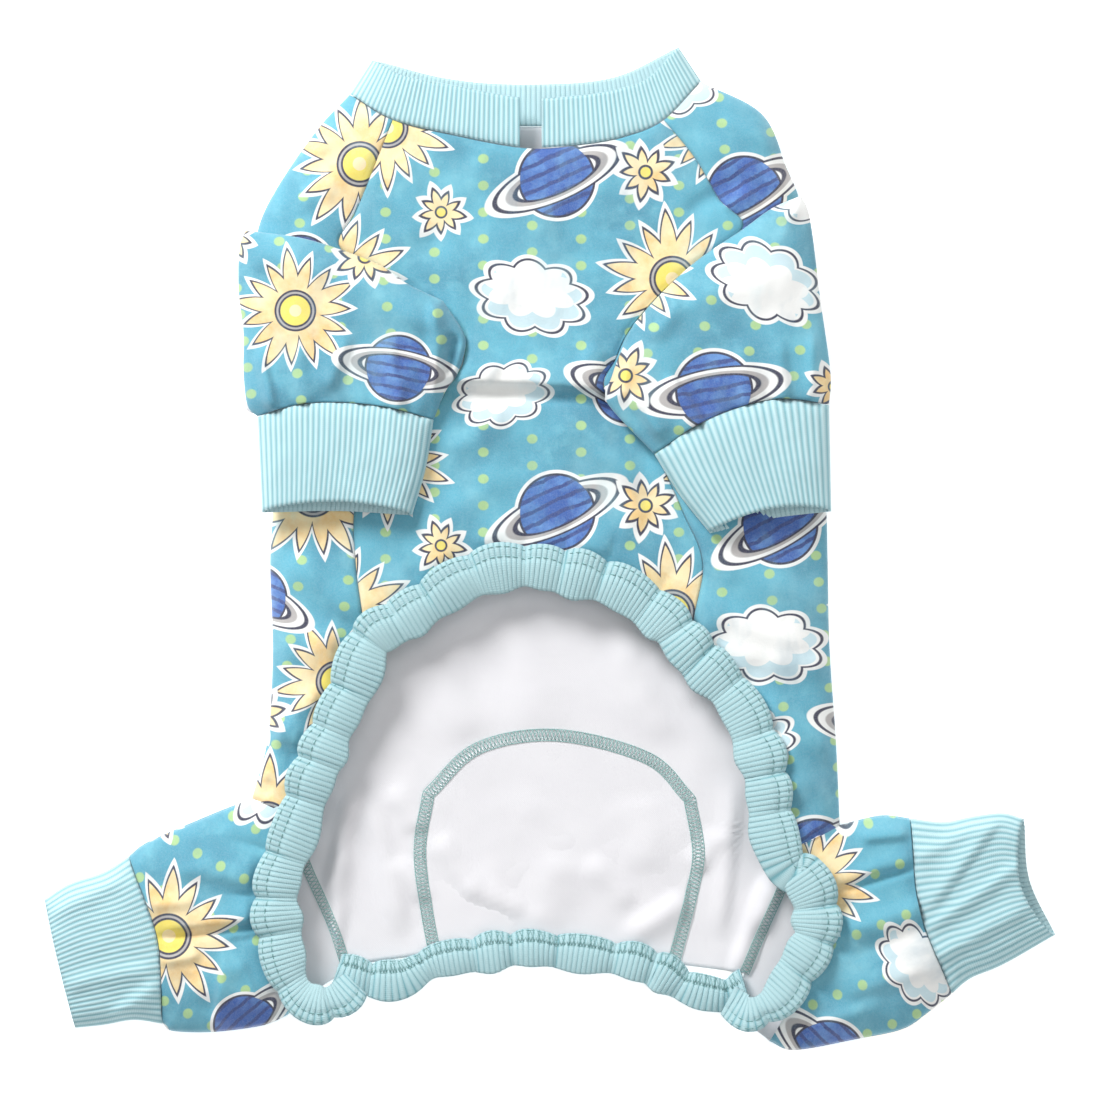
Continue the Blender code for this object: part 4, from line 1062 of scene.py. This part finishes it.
def sleeve_edges(side):
    place = SLEEVE_PLACES[side]
    return [at_shares(place[name], even(FOLD_STEPS)) for name in ("fold", "outer", "inner", "cuff_outer",
                                                                  "cuff_inner")]


def make_sleeve(side):
    place = SLEEVE_PLACES[side]
    across, along = crowded(72), crowded_first(72)
    fold, cuff_seam = at_shares(place["fold"], across), at_shares(place["cuff_seam"], across)
    outer, inner = at_shares(place["outer"], along), at_shares(place["inner"], along)
    grid = loft(fold, cuff_seam, outer, inner, across, along)
    edges = sleeve_edges(side)
    gathers = np.sin(2 * math.pi * across * 9.0 + 0.8 * np.sin(across * 17.0))[None] * (along ** 5)[:, None]
    relief = folded(grid, SLEEVE_FOLDS) + rumpled(grid, 0.035, 0.0012, 11.0)
    relief = relief + rumpled(grid, 0.010, 0.0002, 4.0) + gathers * 0.0007 + seam_dip(grid, SLEEVE_SEAMS)
    top = raised(grid, edges, SLEEVE_BASE, SLEEVE_HEIGHT, relief)
    uv = turned(grid, *SLEEVE_TURNS[side])
    patches = [(top, True, uv), (lowered(grid, edges, SLEEVE_BASE), False, uv + 0.05)]
    piece = cloth(side + "_sleeve_cloth", patches, PRINT_WALL, [PRINT, LINING])
    return dress(piece, side + "_sleeve")


def cuff_patches(seam, hem, outer, inner, edges, base, height, width, length, seams, short):
    """A cuff's two layers; the upper one's hem ends short of the lower one's between the folds."""
    count = round(width / RIB_PITCH) * RIB_STEPS
    across, along = even(count), even(22)
    ends = at_shares(seam, across), at_shares(hem, across)
    sides = at_shares(outer, along), at_shares(inner, along)
    grid = loft(*ends, *sides, across, along)
    grid[0] += (grid[1] - grid[0]) * 0.15
    uv = rib_uv((across * count / RIB_STEPS)[None], (along * length / RIB_PITCH)[:, None])
    fade = ease(distance(grid, edges) / 0.004)
    swell = np.sin(math.pi * along)[:, None] * 0.0008
    pull = along[:, None, None] ** 2 * (short / length) * np.sin(math.pi * across)[None, :, None] ** 0.5
    upper = grid + (grid[:1] - grid[-1:]) * pull
    relief = seam_dip(upper, seams, 0.0014, 0.003) + rumpled(upper, 0.03, 0.0009, 8.0) + swell
    top = raised(upper, edges, base, height, relief + folded(upper, CUFF_FOLDS))
    return [(ribbed(top, uv, fade), True, uv), (ribbed(lowered(grid, edges, base), uv, fade), False, uv)]


def make_front_cuff(side):
    place = SLEEVE_PLACES[side]
    width = SLEEVES[side]["cuff_width"] * FRONT_CUFF_WIDTH * 1.08
    patches = cuff_patches(place["cuff_seam"], place["hem"], place["cuff_outer"], place["cuff_inner"],
                           sleeve_edges(side), SLEEVE_BASE, SLEEVE_HEIGHT, width, FRONT_CUFF_LENGTH,
                           SLEEVE_SEAMS, CUFF_SHORT)
    piece = cloth(side + "_front_cuff_rib", patches, RIB_WALL, [RIB])
    return dress(piece, side + "_front_cuff")


def make_leg(side):
    place, leg = LEG_PLACES[side], LEGS[side]
    corner = seam_left[-1] if side == "left" else seam_right[-1]
    edge = LEG_EDGE_LEFT if side == "left" else LEG_EDGE_RIGHT
    back = LEG_SEAM_LEFT if side == "left" else LEG_SEAM_RIGHT
    across, along = even(80), even(64)
    upper_fold, lower_fold = at_shares(place["upper"], along), at_shares(place["lower"], along)
    cuff_seam = at_shares(place["seam"], across)
    top_inner = at_shares(np.vstack([place["hip"][None], corner[None], on_body(edge)]), across)
    under_inner = at_shares(np.vstack([place["hip"][None], on_body(back), on_body(leg["inner"]),
                                       place["heel"][None]]), across)
    top = loft(upper_fold, lower_fold, top_inner, cuff_seam, along, across)
    low = loft(upper_fold, lower_fold, under_inner, cuff_seam, along, across)
    uv = turned(top, *LEG_TURNS[side])
    relief = body_relief(top, LEG_FOLDS)
    patches = [(raised(top, BODY_EDGES, 0.0, BODY_HEIGHT, relief), True, uv),
               (lowered(low, BODY_EDGES, 0.0), False, turned(low, *LEG_TURNS[side]) + 0.06)]
    piece = cloth(side + "_leg_cloth", patches, PRINT_WALL, [PRINT, LINING])
    return dress(piece, side + "_leg")


def make_hind_cuff(side):
    place = LEG_PLACES[side]
    width = LEGS[side]["cuff_width"] * HIND_CUFF_WIDTH * 1.12
    seams = [at_shares(place["seam"], even(FOLD_STEPS))]
    patches = cuff_patches(place["seam"], place["hem"], place["cuff_upper"], place["cuff_lower"], BODY_EDGES,
                           0.0, BODY_HEIGHT, width, HIND_CUFF_LENGTH, seams, HIND_CUFF_SHORT[side])
    piece = cloth(side + "_hind_cuff_rib", patches, RIB_WALL, [RIB])
    return dress(piece, side + "_hind_cuff")


# The gathered edges

TRIM_ACROSS = 16
PUFF_OUT, PUFF_UP = 0.0042, 0.0046
STITCHED_AT = 0.29
RUMP_TRIM_LOW = 0.0016
STITCH_RADIUS, TRIM_NET_RADIUS = 0.00028, 0.00022
NET_PITCH, NET_LIFT, NET_THREAD = 0.0017, 0.0004, 0.00019
RUMP_OVERLOCK, LEG_OVERLOCK = 0.0052, 0.0042
LEG_OVERLOCK_START = 10


def left_of(path):
    """The unit way to the left at each place of a path."""
    way = np.gradient(path, axis=0)
    way /= np.linalg.norm(way, axis=1)[:, None]
    return np.stack([-way[:, 1], way[:, 0]], -1)


def trim_frame(line):
    """Places along a trim's line, the way out of the opening there, and how far along each one is."""
    length = reach_of(catmull(line, CURVE_STEPS))[-1]
    count = round(length / RIB_PITCH) * RIB_STEPS
    path = at_shares(line, even(count))
    return path, left_of(path), even(count) * length


def trim_places(line, low, slim, lean):
    """The trim's surface: rows run along it, columns from its sewn edge to its free edge."""
    path, out, reach = trim_frame(line)
    turns = puff_phase(reach)
    puff = puffed(turns) * (0.82 + 0.18 * np.sin(turns * 2.1))
    share = reach / reach[-1]
    across = even(TRIM_ACROSS)
    width = TRIM_LAP + (TRIM_WIDTH - TRIM_LAP) * slim(share) + PUFF_OUT * (puff - 0.35)
    offset = (TRIM_LAP + PUFF_OUT * (puff - 0.35))[:, None] - across[None] * width[:, None]
    free_wave = 0.0010 * np.sin(2 * math.pi * turns * 0.5 + 0.7) + 0.0007 * np.sin(2 * math.pi * turns + 2.0)
    offset = offset + across[None] ** 2 * free_wave[:, None]
    plan = path[:, None] + out[:, None] * offset[..., None]
    roll = 0.0022 * np.sin(math.pi * np.clip(across * 1.02, 0, 1)) ** 0.8
    sewn = -0.0007 * np.exp(-((across - STITCHED_AT) / 0.06) ** 2)
    rise = PUFF_UP * puff[:, None] * lean(across)[None] + roll[None] + sewn[None]
    places = np.dstack([plan, low(share)[:, None] + rise])
    uv = rib_uv((reach / RIB_PITCH)[:, None], (across * TRIM_WIDTH / RIB_PITCH)[None])
    return ribbed(places, uv), uv


def trim_low(share):
    from_tip = np.minimum(share, 1 - share) / TRIM_DOWN_SHARE
    return TRIM_TIP_HEIGHT + (SLEEVE_BASE + 0.0006 - TRIM_TIP_HEIGHT) * ease(from_tip)


def trim_slim(share):
    return TRIM_TIP_WIDTH + (1 - TRIM_TIP_WIDTH) * ease(np.minimum(share, 1 - share) / TRIM_TURN_SHARE - 1)


def tube(points, radius, sides=5):
    """The corners and faces of a thread along a row of places."""
    points = np.asarray(points)
    way = np.gradient(points, axis=0)
    way /= np.linalg.norm(way, axis=1)[:, None]
    side = np.cross(way, [0.0, 0.0, 1.0])
    side /= np.maximum(np.linalg.norm(side, axis=1), 1e-9)[:, None]
    up = np.cross(side, way)
    turn = 2 * math.pi * np.arange(sides) / sides
    ring = side[:, None] * np.cos(turn)[None, :, None] + up[:, None] * np.sin(turn)[None, :, None]
    taper = np.ones(len(points))
    taper[0] = taper[-1] = 0.55
    corners = points[:, None] + ring * (radius * taper)[:, None, None]
    index = np.arange(len(points) * sides).reshape(len(points), sides)
    nxt = np.roll(index, -1, axis=1)
    quads = np.stack([index[:-1], index[1:], nxt[1:], nxt[:-1]], -1).reshape(-1, 4).tolist()
    return corners.reshape(-1, 3), quads + [index[0].tolist(), index[-1, ::-1].tolist()]


def threads(name, runs, radius, material):
    """One piece of many short threads."""
    verts, faces = [], []
    for run in runs:
        corners, quads = tube(run, radius)
        faces += [[i + len(verts) for i in quad] for quad in quads]
        verts += corners.tolist()
    places = np.array(verts)
    places[:, :2] += SHIFT
    piece = add_piece(name, places.tolist(), faces, places[:, :2], [material])
    piece.data.shade_smooth()
    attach(piece, "root")
    return piece


def stitch_runs(places, columns, pitch_steps, length_steps, lift):
    """Short stitches that follow rows of a surface, on the given columns."""
    runs = []
    for column in columns:
        low = int(math.floor(column))
        part = column - low
        line = places[:, low] * (1 - part) + places[:, low + 1] * part
        for start in range(4, len(line) - length_steps - 4, pitch_steps):
            run = line[start:start + length_steps + 1:max(1, length_steps // 4)].copy()
            run[:, 2] += lift
            runs.append(run)
    return runs


def make_opening_trim():
    places, uv = trim_places(TRIM_LINE, trim_low, trim_slim, lambda across: 1 - 0.75 * across)
    piece = cloth("opening_trim_rib", [(places, True, uv)], RIB_WALL, [EDGE_RIB], offset=1.0)
    runs = stitch_runs(places, (1.2, STITCHED_AT * TRIM_ACROSS), 9, 6, RIB_WALL + 0.0002)
    threads("opening_trim_stitches", runs, STITCH_RADIUS, STITCH_THREAD)
    return dress(piece, "opening_trim")


def net(first, last):
    """An overlock's threads between two rows of places: both diagonals, and a chain along each row."""
    steps = np.linspace(0, 1, 5)
    bulge = NET_LIFT * np.sin(math.pi * steps)
    runs = []
    for k in range(len(first) - 1):
        for a, b, lift in ((first[k], last[k + 1], 1.0), (last[k], first[k + 1], 0.6)):
            run = a + (b - a) * steps[:, None]
            run[:, 2] += bulge * lift
            runs.append(run)
    return runs + [first, last]


def make_rump_trim():
    line = on_body([RUMP_TRIM_UNDER[0]] + RUMP_TRIM_LINE + [RUMP_TRIM_UNDER[1]])
    places, uv = trim_places(line, lambda share: np.full(share.shape, RUMP_TRIM_LOW),
                             lambda share: np.full(share.shape, RUMP_TRIM_SLIM),
                             lambda across: 0.5 + 0.5 * across)
    piece = cloth("rump_trim_rib", [(places, True, uv)], RIB_WALL, [EDGE_RIB], offset=1.0)
    rows = places[2:-2:4] + [0.0, 0.0, RIB_WALL + 0.0003]
    threads("rump_trim_overlock", net(rows[:, 0], rows[:, 5]), TRIM_NET_RADIUS, STITCH_THREAD)
    return dress(piece, "rump_trim")


def overlock(name, line, width):
    """A band of overlock stitches along a seam of the white inside."""
    count = int(reach_of(line)[-1] / NET_PITCH)
    path = at_shares(line, even(count))
    out = left_of(path)
    rows = []
    for side in (-0.5, 0.5):
        edge = path + out * width * side
        over = np.maximum(inside_relief(edge), rump_relief(edge))
        rows.append(np.column_stack([edge, over + PRINT_WALL + 0.0004]))
    return threads(name, net(*rows), NET_THREAD, OVERLOCK_THREAD)


def make_inside_seams():
    left, top, right = insert_sides()
    line = np.vstack([left[::-1], top[1:-1], right])
    overlock("rump_overlock", line, RUMP_OVERLOCK)
    overlock("left_leg_overlock", leg_left[LEG_OVERLOCK_START:], LEG_OVERLOCK)
    overlock("right_leg_overlock", leg_right[LEG_OVERLOCK_START:], LEG_OVERLOCK)


make_back()
make_rump()
make_belly()
make_collar()
for side_name in ("left", "right"):
    make_sleeve(side_name)
    make_front_cuff(side_name)
    make_leg(side_name)
    make_hind_cuff(side_name)
make_opening_trim()
make_rump_trim()
make_inside_seams()


# Stage

FLOOR_SIDE, FLOOR_DROP, FLOOR_GLOW = 6.0, 0.0004, 0.55
WORLD_GLOW = 0.36
CAMERA_HEIGHT = 2.6
SENSOR = 36.0


def make_floor():
    made, g, shader = surface("pale_floor", 0.95, 0.0)
    shader.inputs["Base Color"].default_value = WHITE
    shader.inputs["Emission Color"].default_value = WHITE
    shader.inputs["Emission Strength"].default_value = FLOOR_GLOW
    bpy.ops.mesh.primitive_plane_add(size=FLOOR_SIDE, location=(0.0, 0.0, -FLOOR_DROP))
    floor = bpy.context.object
    floor.name = "floor"
    floor.data.materials.append(made)


def add_light(name, place, size, power):
    lamp = bpy.data.lights.new(name, "AREA")
    lamp.shape = "DISK"
    lamp.size = size
    lamp.energy = power
    holder = bpy.data.objects.new(name, lamp)
    holder.location = place
    holder.rotation_euler = (-Vector(place)).to_track_quat("-Z", "Y").to_euler()
    bpy.context.scene.collection.objects.link(holder)


def make_camera():
    camera = bpy.data.objects.new("camera", bpy.data.cameras.new("camera"))
    camera.data.sensor_width = SENSOR
    camera.data.lens = SENSOR * CAMERA_HEIGHT / (PHOTO_SIDE * PIXEL)
    camera.location = (SHIFT[0], SHIFT[1], CAMERA_HEIGHT + BODY_HEIGHT)
    bpy.context.scene.collection.objects.link(camera)
    bpy.context.scene.camera = camera


make_floor()
make_camera()
add_light("key_light", (-0.9, 1.25, 1.15), 0.8, 36.5)
add_light("fill_light", (1.2, -0.6, 1.4), 1.4, 5.0)
add_light("top_light", (0.0, 0.1, 2.2), 1.6, 7.0)
world = bpy.data.worlds.new("studio")
world.use_nodes = True
background = world.node_tree.nodes["Background"]
background.inputs[0].default_value = WHITE
background.inputs[1].default_value = WORLD_GLOW
bpy.context.scene.world = world
bpy.context.scene.view_settings.view_transform = "Standard"
